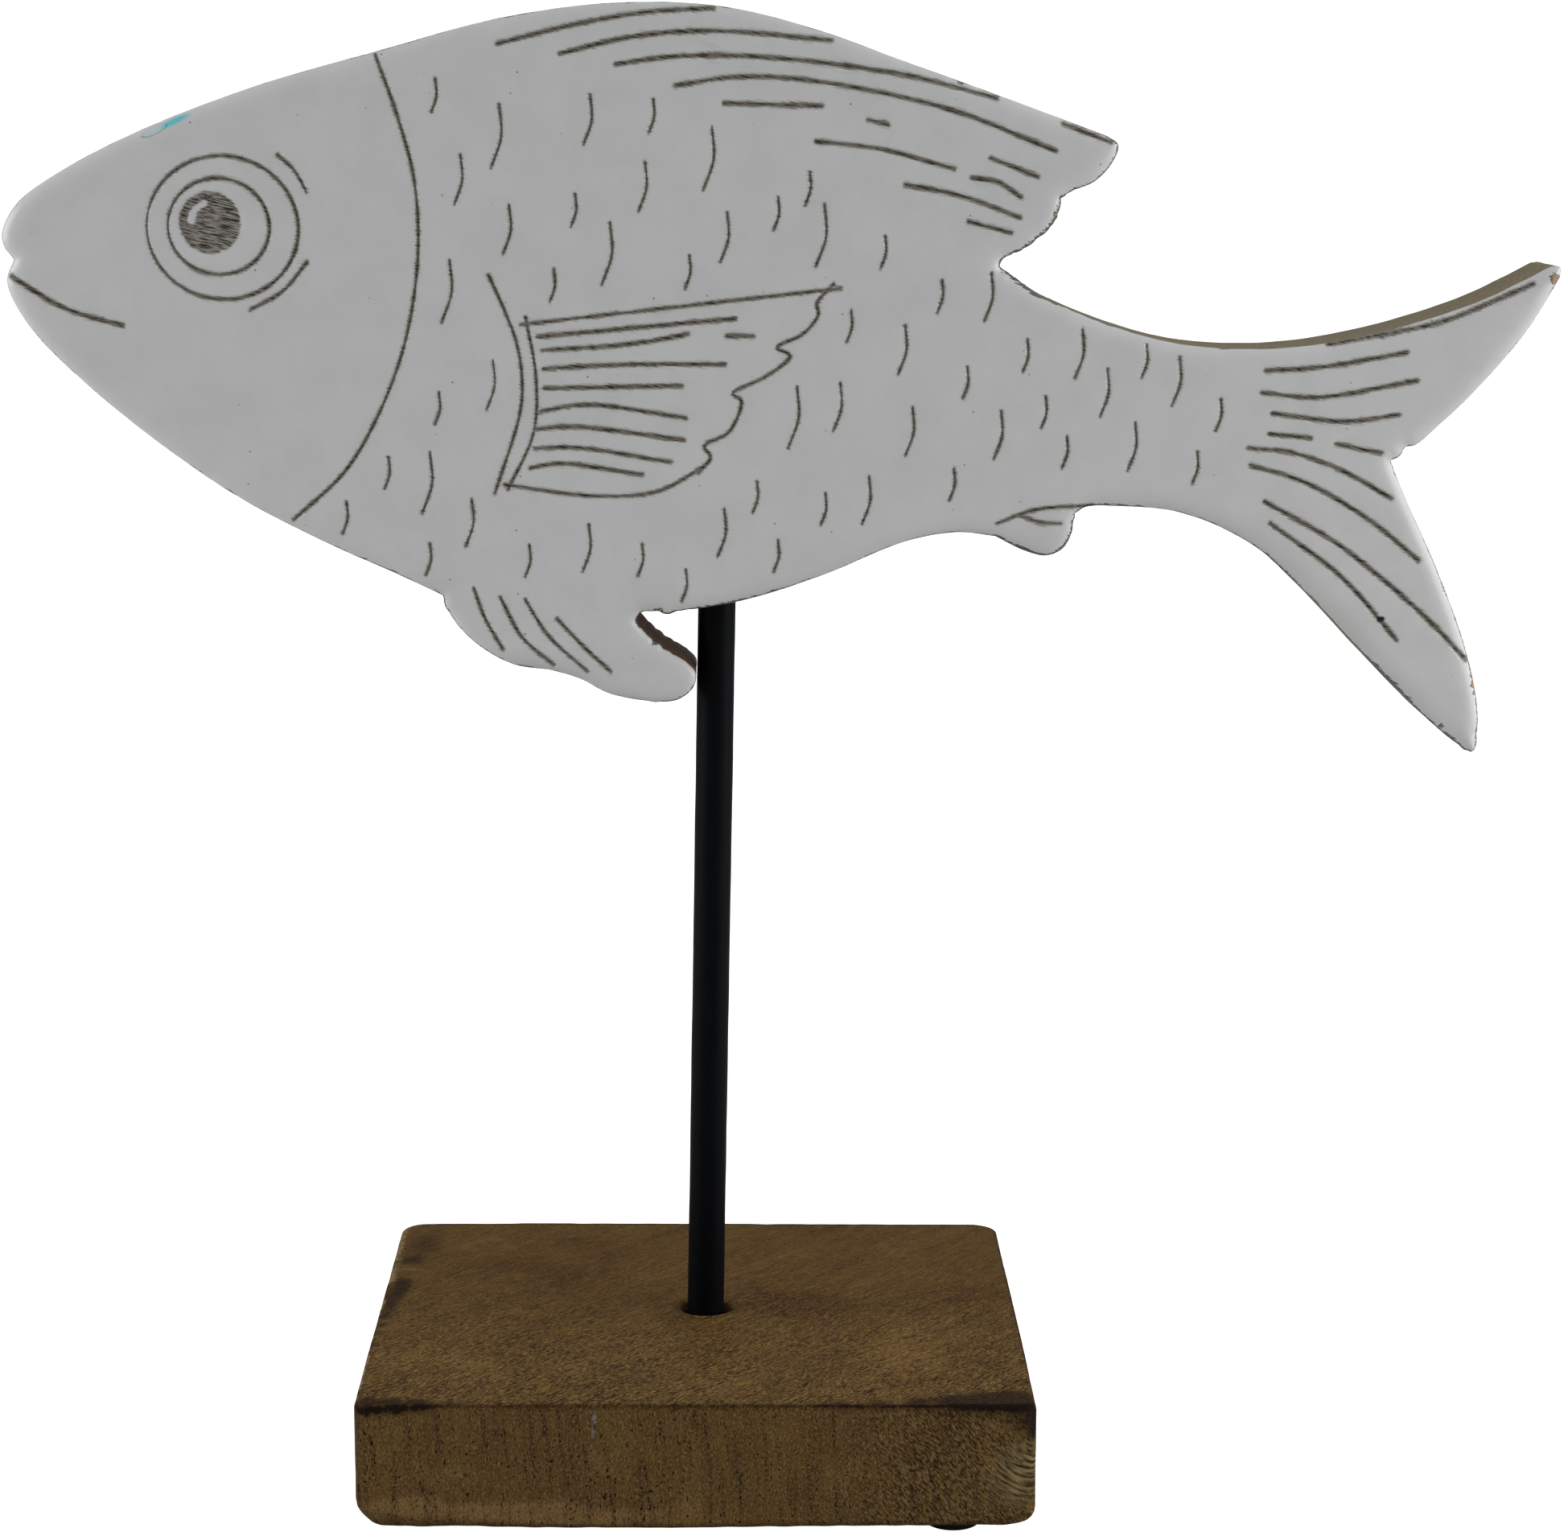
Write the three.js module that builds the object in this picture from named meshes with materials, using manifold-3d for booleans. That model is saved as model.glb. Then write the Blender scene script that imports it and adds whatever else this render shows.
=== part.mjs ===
// A wooden fish figurine: an engraved, enamelled board held up by an iron rod in a wooden block.
// Millimetres, +Z up, the fish's nose towards -X and its engraved face towards -Y.
// The origin is on the table, under the middle of the fish's length.

import * as THREE from 'three';
import * as BufferGeometryUtils from 'three/addons/utils/BufferGeometryUtils.js';
import Module from 'manifold-3d';

const wasm = await Module();
wasm.setup();

// Driving dimensions
const BOARD_THICK = 16;        // the fish's board, face to face
const ARRIS_IN = 2.2;          // how far the enamel's rounding reaches in over the face
const ARRIS_DEEP = 1.5;        // and how far it falls back
const ARRIS_STEPS = 2;
const ARRIS_ROOM = 0.75;       // share of a narrow tip's half width that the rounding may take
const GROOVE_DEEP = 0.5;       // depth of the engraved drawing
const LINE_WIDE = 1.2;         // width of the rays, rings and outlines
const GILL_WIDE = 0.9;
const SCALE_WIDE = 0.75;       // width of the scale marks
const LONGEST_CHORD = 5.5;     // longest straight step along the outline

const ROD_RADIUS = 3;
const ROD_X = -11.9;           // where the rod leaves the base
const ROD_LEAN = 0.013;        // sideways run of the rod for each millimetre of height
const ROD_TOP = 158;           // end of the rod inside the fish
const ROD_FOOT = 8;            // end of the rod inside the base
const ROD_SIDES = 24;

const BASE = { x: -13.1, wide: 105, deep: 84, high: 20.35, frontCorner: 1.6, backCorner: 4, arris: 1 };
const BASE_BORE_RADIUS = 3.7;
const FOOT = { radius: 4.75, high: 2, taper: 0.4, sides: 24 };
const FOOT_PLACES = {          // stuck on by hand, so each is a little off square; from the base's middle
  foot_front_left: [-43, -32],
  foot_front_right: [40, -33.8],
  foot_back_left: [-42, 33],
  foot_back_right: [42, 32],
};
const CLEARANCE = 0.3;         // free space between two pieces that meet

// The outline of the fish, clockwise from the corner of the mouth, as [x, z].
// Each run is one smooth curve, and the runs meet at the corners that the saw left.
const OUTLINE = {
  back: [
    [-117.8, 193.5], [-119.2, 195.3], [-119.5, 197.6], [-117.0, 202.0], [-111.0, 206.4], [-99.0, 212.6],
    [-81.0, 219.5], [-62.0, 225.0], [-43.0, 230.1], [-26.0, 232.4], [-10.0, 232.0], [4.0, 228.8],
    [18.0, 224.0], [32.5, 219.0], [49.0, 213.1],
  ],
  dorsalTip: [[49.0, 213.1], [50.7, 211.8], [49.8, 209.0], [47.2, 206.2], [43.5, 204.6], [42.2, 203.6]],
  dorsalRear: [[42.2, 203.6], [41.7, 200.9], [39.5, 198.1], [36.5, 195.9], [33.6, 194.5], [32.9, 193.4]],
  tailTop: [
    [32.9, 193.4], [35.3, 191.7], [39.7, 188.8], [51.0, 184.2], [62.0, 181.5], [77.0, 181.1],
    [91.5, 183.5], [106.0, 188.0], [113.5, 191.5], [117.8, 193.8],
  ],
  tailTip: [[117.8, 193.8], [119.3, 193.8], [119.4, 192.2]],
  upperLobe: [[119.4, 192.2], [115.0, 184.4], [107.5, 175.1], [101.0, 168.6], [98.2, 166.2], [96.7, 165.8]],
  fork: [[96.7, 165.8], [95.6, 164.3], [94.4, 163.7]],
  lowerLobe: [[94.4, 163.7], [96.0, 160.0], [103.0, 145.4], [107.4, 134.4], [109.8, 125.0], [110.0, 118.8]],
  lobeTip: [[110.0, 118.8], [109.4, 117.6], [108.0, 117.9]],
  underTail: [
    [108.0, 117.9], [102.5, 122.3], [92.5, 132.2], [82.5, 142.5], [73.0, 150.6], [62.0, 155.4],
    [52.0, 156.4], [46.8, 156.2], [45.5, 155.2],
  ],
  analFin: [[45.5, 155.2], [44.9, 152.0], [43.6, 149.7], [41.0, 148.6], [37.5, 149.4], [33.0, 151.6]],
  belly: [[33.0, 151.6], [27.0, 152.2], [19.0, 150.7], [6.0, 145.3], [-6.0, 141.4], [-16.6, 139.5]],
  notch: [
    [-16.6, 139.5], [-18.2, 139.1], [-19.7, 139.5], [-22.0, 139.4], [-23.0, 138.2], [-22.2, 137.0],
    [-19.0, 134.1], [-15.2, 131.7],
  ],
  pelvicTip: [[-15.2, 131.7], [-13.6, 129.9], [-14.0, 127.5], [-16.5, 125.5], [-20.0, 125.1]],
  pelvicFin: [
    [-20.0, 125.1], [-27.0, 126.4], [-31.8, 128.8], [-36.0, 130.1], [-42.0, 131.0], [-47.0, 133.6],
    [-50.5, 136.8], [-52.8, 140.2],
  ],
  finRoot: [[-52.8, 140.2], [-53.2, 142.0]],
  throat: [
    [-53.2, 142.0], [-60.0, 145.2], [-71.0, 150.1], [-84.0, 156.9], [-97.0, 165.9], [-108.0, 175.1],
    [-115.0, 182.3], [-118.3, 187.6], [-119.0, 190.4], [-117.8, 193.5],
  ],
};

// The drawing, as the engraver's strokes: each is a line of points [x, z].
const MOUTH = [[-118.0, 191.0], [-110.2, 186.3], [-101.2, 183.6]];
const GILL = [
  [-62.1, 224.4], [-59.3, 216.6], [-56.7, 207.0], [-56.0, 198.3], [-56.6, 189.7], [-58.7, 179.9],
  [-62.7, 169.9], [-67.8, 161.5], [-76.0, 153.8],
];
const EYE_RINGS = [
  { x: -85.7, z: 198.5, wide: 11.5, high: 10.8 },
  { x: -86.3, z: 198.7, wide: 7.7, high: 7.25 },
];
const PUPIL = { x: -87.6, z: 199.3, wide: 4.7, high: 4.7 };
const BROWS = [
  [[-77.1, 209.5], [-74.6, 207.1], [-72.8, 203.9]],
  [[-73.0, 193.4], [-76.8, 189.0], [-81.9, 186.1]],
];
const DORSAL_RAYS = [
  [[-43.7, 226.2], [-31.6, 229.2], [-21.8, 230.9], [-11.0, 231.7]],
  [[-34.3, 224.8], [-23.1, 227.4], [-11.0, 228.3], [6.8, 227.0]],
  [[-25.8, 223.3], [-16.7, 224.5], [-3.9, 224.5], [17.1, 222.1], [32.0, 218.6]],
  [[-16.8, 220.2], [-7.7, 221.5], [3.1, 221.1], [24.1, 217.1], [41.1, 210.8]],
  [[-9.5, 217.6], [5.4, 217.3]],
  [[12.3, 215.3], [15.5, 214.6]],
  [[4.5, 212.0], [14.4, 210.9], [25.7, 208.0]],
  [[18.2, 205.6], [26.6, 204.0], [35.9, 200.7]],
  [[31.1, 209.7], [38.4, 206.9]],
  [[28.3, 206.7], [32.3, 206.1], [35.9, 203.8]],
  [[27.9, 200.1], [34.6, 198.4]],
  [[42.0, 214.9], [49.5, 212.1]],
];
const TAIL_RAYS = [
  [[83.8, 181.7], [92.9, 183.4], [101.8, 185.5], [115.2, 191.2]],
  [[74.2, 177.7], [83.0, 178.3], [96.0, 180.6]],
  [[73.7, 174.3], [82.3, 173.6], [97.8, 176.3]],
  [[75.4, 171.1], [86.6, 169.9], [95.2, 171.0]],
  [[75.1, 167.9], [81.7, 167.3]],
  [[85.6, 166.4], [92.7, 165.0]],
  [[71.9, 165.7], [78.8, 165.0], [86.7, 162.2], [94.6, 157.9]],
  [[72.4, 163.0], [80.7, 160.5], [91.3, 154.5], [99.2, 148.2]],
  [[74.7, 157.4], [86.2, 150.9], [100.2, 139.7], [107.5, 132.4]],
  [[75.7, 154.0], [87.3, 145.5], [96.3, 135.6]],
];
const PECTORAL_EDGES = [
  [[-45.4, 191.6], [-43.1, 186.5], [-41.2, 181.3], [-40.4, 175.7], [-40.8, 170.5], [-44.8, 158.0]],
  [[-39.8, 185.2], [-38.3, 176.5], [-38.7, 167.6], [-42.8, 158.6]],
  [[-40.6, 184.1], [8.6, 189.9]],
  [
    [7.4, 190.6], [4.8, 187.5], [5.1, 186.0], [2.7, 182.9], [-1.3, 180.8], [0.8, 179.6], [-2.9, 176.4],
    [-8.1, 173.7], [-6.7, 172.7], [-8.6, 167.8], [-12.4, 165.6], [-11.4, 163.9], [-13.4, 161.4],
  ],
  [[-43.2, 159.5], [-29.1, 157.8], [-19.5, 158.6], [-12.2, 162.6]],
];
const PECTORAL_RAYS = [
  [[-37.9, 182.3], [-7.5, 185.2]],
  [[-37.3, 180.2], [-24.2, 181.2], [-14.8, 182.8]],
  [[-8.9, 182.6], [-4.8, 182.5]],
  [[-37.1, 177.4], [-24.2, 178.1], [-9.1, 178.2]],
  [[-37.0, 174.4], [-15.7, 174.9]],
  [[-37.5, 170.9], [-30.4, 171.9], [-15.1, 169.9]],
  [[-38.5, 168.1], [-32.3, 168.5], [-15.4, 166.5]],
  [[-38.5, 165.1], [-32.4, 165.3], [-17.4, 163.1]],
  [[-39.2, 162.1], [-34.8, 162.8], [-21.9, 161.1]],
];
const LOWER_RAYS = [
  [[-48.2, 143.3], [-46.5, 138.6], [-43.7, 133.6]],
  [[-44.1, 141.9], [-40.8, 135.7], [-35.8, 131.2]],
  [[-40.2, 141.5], [-36.5, 135.7], [-30.5, 130.2]],
  [[-35.3, 138.6], [-31.2, 134.2], [-26.8, 130.1]],
  [[33.1, 153.8], [39.1, 156.0], [48.0, 156.6]],
  [[36.7, 155.0], [39.9, 154.0], [43.2, 153.8]],
];

// The scale marks are one small arc in three lengths, bulging towards the tail.
const SCALE_MARKS = {
  5: [
    [-53.2, 218.4], [-20.3, 215.6], [-32.2, 201.4], [-1.3, 201.1], [3.5, 204.9], [-35.5, 190.0],
    [-14.8, 192.2], [15.1, 195.4], [23.9, 188.7], [10.0, 184.1], [28.0, 175.5], [37.2, 179.7],
    [55.6, 179.0], [-53.3, 171.2], [40.2, 171.0], [67.3, 170.8], [43.6, 164.9], [63.9, 162.6],
    [26.2, 159.8], [6.3, 155.9], [-4.3, 157.7], [-61.2, 161.2], [-67.8, 154.2], [-1.0, 148.5],
    [-22.1, 147.8], [-39.6, 147.6], [-55.0, 147.8], [-15.3, 143.8],
  ],
  7.5: [
    [-29.9, 215.0], [-49.6, 205.9], [-42.3, 198.4], [-21.6, 205.0], [-9.1, 197.5], [31.4, 188.6],
    [18.3, 180.5], [45.6, 180.1], [49.6, 174.1], [60.7, 175.9], [-45.0, 174.8], [8.4, 171.7],
    [19.6, 168.0], [33.3, 167.5], [54.1, 165.8], [13.0, 157.3], [-9.4, 152.1], [-30.4, 149.6],
    [-48.5, 153.5],
  ],
  9.5: [
    [-43.7, 212.5], [-11.5, 209.3], [-27.0, 194.9], [5.7, 197.8], [-51.5, 189.1], [1.7, 170.1],
    [-54.9, 159.7],
  ],
};
const SCALE_LEAN = 0.14;       // the foot of a mark lies this much of its length nearer the nose
const SCALE_BULGE = 0.1;       // rise of its arc, half of it to each side of the middle point
const EYE_SIDES = 28;
const PUPIL_SIDES = 18;

const half = BOARD_THICK / 2;

// A smooth curve through points [x, z], cut into steps no longer than the given chord.
function curveThrough(points, chord) {
  const curve = new THREE.CatmullRomCurve3(points.map(([x, z]) => new THREE.Vector3(x, z, 0)));
  const steps = [];
  for (let i = 0; i < points.length - 1; i += 1) {
    const gap = Math.hypot(points[i + 1][0] - points[i][0], points[i + 1][1] - points[i][1]);
    const cuts = Math.max(1, Math.ceil(gap / chord));
    for (let k = 0; k < cuts; k += 1) {
      steps.push(curve.getPoint((i + k / cuts) / (points.length - 1)));
    }
  }
  steps.push(curve.getPoint(1));
  return steps.map((p) => new THREE.Vector2(p.x, p.y));
}

// A closed geometry as a solid that can be joined and cut.
function solidOf(geometry) {
  const bare = geometry.clone();
  bare.deleteAttribute('normal');
  bare.deleteAttribute('uv');
  const merged = BufferGeometryUtils.mergeVertices(bare);
  return new wasm.Manifold(new wasm.Mesh({
    numProp: 3,
    vertProperties: new Float32Array(merged.attributes.position.array),
    triVerts: new Uint32Array(merged.index.array),
  }));
}

// A solid back as a geometry with flat faces.
function geometryOf(solid) {
  const mesh = solid.getMesh();
  const geometry = new THREE.BufferGeometry();
  geometry.setAttribute('position', new THREE.BufferAttribute(mesh.vertProperties, 3));
  geometry.setIndex(new THREE.BufferAttribute(mesh.triVerts, 1));
  geometry.computeVertexNormals();
  return geometry;
}

// A shape drawn in x and z, stood upright between two depths.
function standing(shape, yFront, yBack) {
  const geometry = new THREE.ExtrudeGeometry(shape, { depth: yBack - yFront, bevelEnabled: false });
  geometry.rotateX(Math.PI / 2);
  geometry.translate(0, yBack, 0);
  return geometry;
}

// An outline moved inwards. In a narrow tip each point stops short of the tip's middle line:
// the room at a point is the radius of the largest circle that touches the outline there from inside.
function insetLoop(loop, inset) {
  const count = loop.length;
  return loop.map((p, i) => {
    const along = loop[(i + 1) % count].clone().sub(loop[(i + count - 1) % count]).normalize();
    const inwards = new THREE.Vector2(-along.y, along.x);
    const room = loop.reduce((least, q) => {
      const across = q.clone().sub(p);
      const rise = across.dot(inwards);
      return rise > 0 ? Math.min(least, across.lengthSq() / (2 * rise)) : least;
    }, Infinity);
    return p.clone().addScaledVector(inwards, Math.min(inset, room * ARRIS_ROOM));
  });
}

// A board sawn to a counter-clockwise outline, with both faces rounded off at their edges.
function boardGeometry(loop) {
  const rings = [];
  for (let k = 0; k <= ARRIS_STEPS; k += 1) {
    const turn = (k / ARRIS_STEPS) * Math.PI / 2;
    const ring = insetLoop(loop, ARRIS_IN * (1 - Math.sin(turn)));
    rings.push({ ring, y: -half + ARRIS_DEEP * (1 - Math.cos(turn)) });
  }
  rings.push(...rings.map(({ ring, y }) => ({ ring, y: -y })).reverse());

  const count = loop.length;
  const positions = rings.flatMap(({ ring, y }) => ring.flatMap((p) => [p.x, y, p.y]));
  const face = THREE.ShapeUtils.triangulateShape(rings[0].ring, []);
  const toBack = (rings.length - 1) * count;
  const index = face.flatMap(([a, b, c]) => [a, b, c, toBack + a, toBack + c, toBack + b]);
  for (let r = 0; r < rings.length - 1; r += 1) {
    for (let i = 0; i < count; i += 1) {
      const near = r * count + i;
      const nearNext = r * count + (i + 1) % count;
      index.push(near, near + count, nearNext, nearNext, near + count, nearNext + count);
    }
  }
  const geometry = new THREE.BufferGeometry();
  geometry.setAttribute('position', new THREE.Float32BufferAttribute(positions, 3));
  geometry.setIndex(index);
  return geometry;
}

// A stroke of the graver: a ribbon that follows the line and tapers to a point at both ends.
function strokeShape(points, width, chord) {
  const line = curveThrough(points, chord);
  const last = line.length - 1;
  const side = (sign) => line.slice(1, last).map((p, i) => {
    const along = line[i + 2].clone().sub(line[i]).normalize();
    return new THREE.Vector2(p.x - sign * along.y * width / 2, p.y + sign * along.x * width / 2);
  });
  return new THREE.Shape([line[0], ...side(1), line[last], ...side(-1).reverse()]);
}

// The same ribbon for a short or straight line, with a shoulder near each end.
function dashShape(points, width) {
  const first = points[0];
  const end = points[points.length - 1];
  const shoulder = (a, b) => [a[0] * 0.9 + b[0] * 0.1, a[1] * 0.9 + b[1] * 0.1];
  const inner = points.slice(1, -1);
  const line = [first, shoulder(first, points[1]), ...inner, shoulder(end, points[points.length - 2]), end];
  return strokeShape(line, width, LINE_WIDE * 12);
}

// An oval band, or a full oval when it has no inner edge.
function ovalShape({ x, z, wide, high }, width, sides) {
  const oval = (grow) => Array.from({ length: sides }, (_, i) => {
    const turn = (i / sides) * 2 * Math.PI;
    return new THREE.Vector2(x + (wide + grow) * Math.cos(turn), z + (high + grow) * Math.sin(turn));
  });
  const shape = new THREE.Shape(oval(width / 2));
  if (width > 0) {
    shape.holes.push(new THREE.Path(oval(-width / 2).reverse()));
  }
  return shape;
}

// One scale mark: a shallow arc about its middle point.
function scaleMark([x, z], length) {
  const lean = SCALE_LEAN * length / 2;
  const bulge = SCALE_BULGE * length / 2;
  const line = [[x + lean - bulge, z + length / 2], [x + bulge, z], [x - lean - bulge, z - length / 2]];
  return dashShape(line, SCALE_WIDE);
}

// The front's drawing as flat shapes.
function frontDrawing() {
  const lines = [
    MOUTH, ...BROWS, ...DORSAL_RAYS, ...TAIL_RAYS, ...PECTORAL_EDGES, ...PECTORAL_RAYS, ...LOWER_RAYS,
  ];
  const marks = Object.entries(SCALE_MARKS).flatMap(([length, places]) => (
    places.map((place) => scaleMark(place, Number(length)))
  ));
  return [
    ...lines.map((line) => dashShape(line, LINE_WIDE)),
    ...marks,
    ...EYE_RINGS.map((ring) => ovalShape(ring, GILL_WIDE, EYE_SIDES)),
    ovalShape(PUPIL, 0, PUPIL_SIDES),
    dashShape(GILL, GILL_WIDE),
  ];
}

// The plainer drawing of the back: every second ray, one eye ring and no scales.
function rearDrawing() {
  const everySecond = (line, i) => i % 2 === 0;
  const lines = [
    MOUTH, ...DORSAL_RAYS.filter(everySecond), ...TAIL_RAYS.filter(everySecond), ...PECTORAL_EDGES,
    ...PECTORAL_RAYS.filter(everySecond), ...LOWER_RAYS.filter(everySecond),
  ];
  return [
    ...lines.map((line) => dashShape(line, LINE_WIDE)),
    ovalShape(EYE_RINGS[0], GILL_WIDE, EYE_SIDES),
    ovalShape(PUPIL, 0, PUPIL_SIDES),
    dashShape(GILL, GILL_WIDE),
  ];
}

// A drilled hole along the rod's own leaning axis, from one height to another.
function bore(radius, zLow, zHigh, sides) {
  const geometry = new THREE.CylinderGeometry(radius, radius, zHigh - zLow, sides);
  geometry.rotateX(Math.PI / 2);
  geometry.translate(0, 0, (zLow + zHigh) / 2 - FOOT.high - BASE.high);
  geometry.rotateY(Math.atan(ROD_LEAN));
  geometry.translate(ROD_X, 0, FOOT.high + BASE.high);
  return geometry;
}

function fishGeometry() {
  const loop = Object.values(OUTLINE).flatMap((run) => curveThrough(run, LONGEST_CHORD).slice(0, -1));
  const board = solidOf(boardGeometry(loop.reverse()));
  const front = frontDrawing().map((shape) => solidOf(standing(shape, -half - 1, -half + GROOVE_DEEP)));
  const rear = rearDrawing().map((shape) => solidOf(standing(shape, half - GROOVE_DEEP, half + 1)));
  const hole = solidOf(bore(ROD_RADIUS + CLEARANCE, ROD_TOP - 30, ROD_TOP + CLEARANCE, ROD_SIDES));
  return geometryOf(board.subtract(wasm.Manifold.union([...front, ...rear, hole])));
}

function baseGeometry() {
  const block = new THREE.Shape();
  const corner = (x, y, radius, turn) => block.absarc(
    x * (BASE.wide / 2 - radius), y * (BASE.deep / 2 - radius), radius, turn, turn + Math.PI / 2,
  );
  corner(1, 1, BASE.backCorner, 0);
  corner(-1, 1, BASE.backCorner, Math.PI / 2);
  corner(-1, -1, BASE.frontCorner, Math.PI);
  corner(1, -1, BASE.frontCorner, Math.PI * 1.5);
  const geometry = new THREE.ExtrudeGeometry(block, {
    depth: BASE.high - 2 * BASE.arris,
    curveSegments: 5,
    bevelThickness: BASE.arris,
    bevelSize: BASE.arris,
    bevelOffset: -BASE.arris,
    bevelSegments: 2,
  });
  geometry.translate(BASE.x, 0, FOOT.high + BASE.arris);
  const hole = bore(BASE_BORE_RADIUS, ROD_FOOT - CLEARANCE, ROD_FOOT + BASE.high, ROD_SIDES);
  return geometryOf(solidOf(geometry).subtract(solidOf(hole)));
}

function footGeometry() {
  const high = FOOT.high - CLEARANCE;
  const geometry = new THREE.CylinderGeometry(FOOT.radius - FOOT.taper, FOOT.radius, high, FOOT.sides);
  geometry.rotateX(-Math.PI / 2);
  geometry.translate(0, 0, high / 2);
  return geometry;
}

const enamel = new THREE.MeshStandardMaterial({ color: 0xe9eaea, roughness: 0.22, metalness: 0 });
const blackIron = new THREE.MeshStandardMaterial({ color: 0x101214, roughness: 0.45, metalness: 0.3 });
const stainedWood = new THREE.MeshStandardMaterial({ color: 0x6a5232, roughness: 0.7, metalness: 0 });
const blackRubber = new THREE.MeshStandardMaterial({ color: 0x141414, roughness: 0.85, metalness: 0 });

function named(name, geometry, material) {
  const mesh = new THREE.Mesh(geometry, material);
  mesh.name = name;
  return mesh;
}

const figurine = new THREE.Group();
figurine.add(named('fish', fishGeometry(), enamel));
figurine.add(named('rod', bore(ROD_RADIUS, ROD_FOOT, ROD_TOP, ROD_SIDES), blackIron));
figurine.add(named('base', baseGeometry(), stainedWood));

Object.entries(FOOT_PLACES).forEach(([name, [x, y]]) => {
  const foot = named(name, footGeometry(), blackRubber);
  foot.position.set(BASE.x + x, y, 0);
  figurine.add(foot);
});

export default figurine;
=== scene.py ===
"""A wooden fish figurine: a white-enamelled, engraved board on a black rod in a stained block.

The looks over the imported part, in its own frame: +Z up, the nose towards -X, the engraved face
towards -Y. Lengths are millimetres, turned into metres where a mesh, lamp or camera is made.
"""

import math

import bpy
import numpy as np
from mathutils import Matrix, Vector
from mathutils.geometry import delaunay_2d_cdt


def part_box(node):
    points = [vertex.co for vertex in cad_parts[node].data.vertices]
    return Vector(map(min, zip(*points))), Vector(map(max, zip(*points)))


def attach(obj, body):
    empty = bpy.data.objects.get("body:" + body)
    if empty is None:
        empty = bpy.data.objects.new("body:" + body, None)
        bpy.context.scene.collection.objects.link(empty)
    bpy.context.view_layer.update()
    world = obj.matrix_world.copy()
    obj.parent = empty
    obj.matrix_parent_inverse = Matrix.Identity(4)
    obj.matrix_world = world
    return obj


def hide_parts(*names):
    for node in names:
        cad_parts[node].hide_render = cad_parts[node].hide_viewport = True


MM = 0.001
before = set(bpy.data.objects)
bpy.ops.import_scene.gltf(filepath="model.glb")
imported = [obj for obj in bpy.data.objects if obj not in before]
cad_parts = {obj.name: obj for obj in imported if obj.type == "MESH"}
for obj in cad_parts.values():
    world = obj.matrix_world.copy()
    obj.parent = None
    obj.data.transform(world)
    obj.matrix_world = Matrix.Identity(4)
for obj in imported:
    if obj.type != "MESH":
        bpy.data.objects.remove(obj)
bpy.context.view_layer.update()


# The block
# A square-cut block of mango wood under the rod, stained brown and wiped with a thin satin varnish.
# Its edges are rubbed round by hand and darkened with a torch, and its underside is plain.
block_low, block_high = (np.array(corner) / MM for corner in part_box("base"))
FRONT_CORNER = 1.8
BACK_CORNER = 4.2
BLOCK_ARRIS = 0.7
FOOT_ARRIS = 1.3
SIDE_SWELL = 0.15
TOP_FALL = 0.2
INSET_CORE = 8.0
BORE_RADIUS = 3.7
BORE_FLOOR = 7.7
# How many rows the block's profile has up the bore, out over the top, round an arris, down the side and in
# under it, and how far down the bore's mouth each of its rings lies, with its share of the flare.
BORE_ROWS = 8
TOP_ROWS = 46
ARRIS_ROWS = 7
SIDE_ROWS = 28
UNDER_ROWS = 22
BORE_FLARE = ((0.7, 0.3), (0.3, 0.7), (0.08, 0.95), (0.0, 1.05))
MOUTH_DEEP = 1.2
ROD_FOOT = np.array([-11.9, 0.0, block_high[2]])
ROD_LEAN = 0.013


def rod_axis(z):
    """The middle of the rod at each height: it leans a little towards the tail."""
    return np.stack([ROD_FOOT[0] + ROD_LEAN * (z - ROD_FOOT[2]), 0 * z, z], axis=-1)


def ripple(points, size, seed, waves=12):
    """A smooth random height of about -1 to 1: waves of about that length in random directions, summed."""
    chance = np.random.default_rng(seed)
    ways = chance.normal(size=(points.shape[-1], waves))
    ways *= chance.uniform(0.6, 1.4, waves) * 2 * math.pi / size / np.linalg.norm(ways, axis=0)
    return np.sin(points @ ways + chance.uniform(0, 2 * math.pi, waves)).sum(axis=-1) / math.sqrt(waves)


def round_rectangle(half, front, back, count):
    """Points and outward directions round a rectangle whose corners have one radius in front and one
    behind. The points stand three times as close in the corners as on the straight sides."""
    quarter, closeness = 256, 3
    turn = np.linspace(0, 2 * math.pi, 4 * quarter, endpoint=False) + math.pi / 4 / quarter
    out = np.stack([np.cos(turn), np.sin(turn)], axis=1)
    corner = np.where(out[:, 1:] < 0, front, back)
    path = np.sign(out) * (half - corner) + corner * out
    closed = np.concatenate([path, path[:1]])
    steps = np.linalg.norm(np.diff(closed, axis=0), axis=1)
    steps = np.concatenate([[0], np.cumsum(np.where(steps < 1, closeness, 1) * steps)])
    wanted = np.linspace(0, steps[-1], count, endpoint=False)
    place = np.stack([np.interp(wanted, steps, closed[:, k]) for k in range(2)], axis=1)
    corner = np.where(place[:, 1:] < 0, front, back)
    away = place - np.clip(place, corner - half, half - corner)
    return place, away / np.linalg.norm(away, axis=1, keepdims=True)


def spokes(count):
    """Unit directions round the Z axis, at even turns from the X axis."""
    turn = np.linspace(0, 2 * math.pi, count, endpoint=False)
    return np.stack([np.cos(turn), np.sin(turn), 0 * turn], axis=1)


def ring_triangles(first, second):
    """Two triangles for each step between two closed rings of point numbers, or rows of such rings."""
    after_first, after_second = np.roll(first, -1, -1), np.roll(second, -1, -1)
    return np.concatenate([
        np.stack([first, after_first, after_second], -1).reshape(-1, 3),
        np.stack([first, after_second, second], -1).reshape(-1, 3),
    ])


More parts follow.
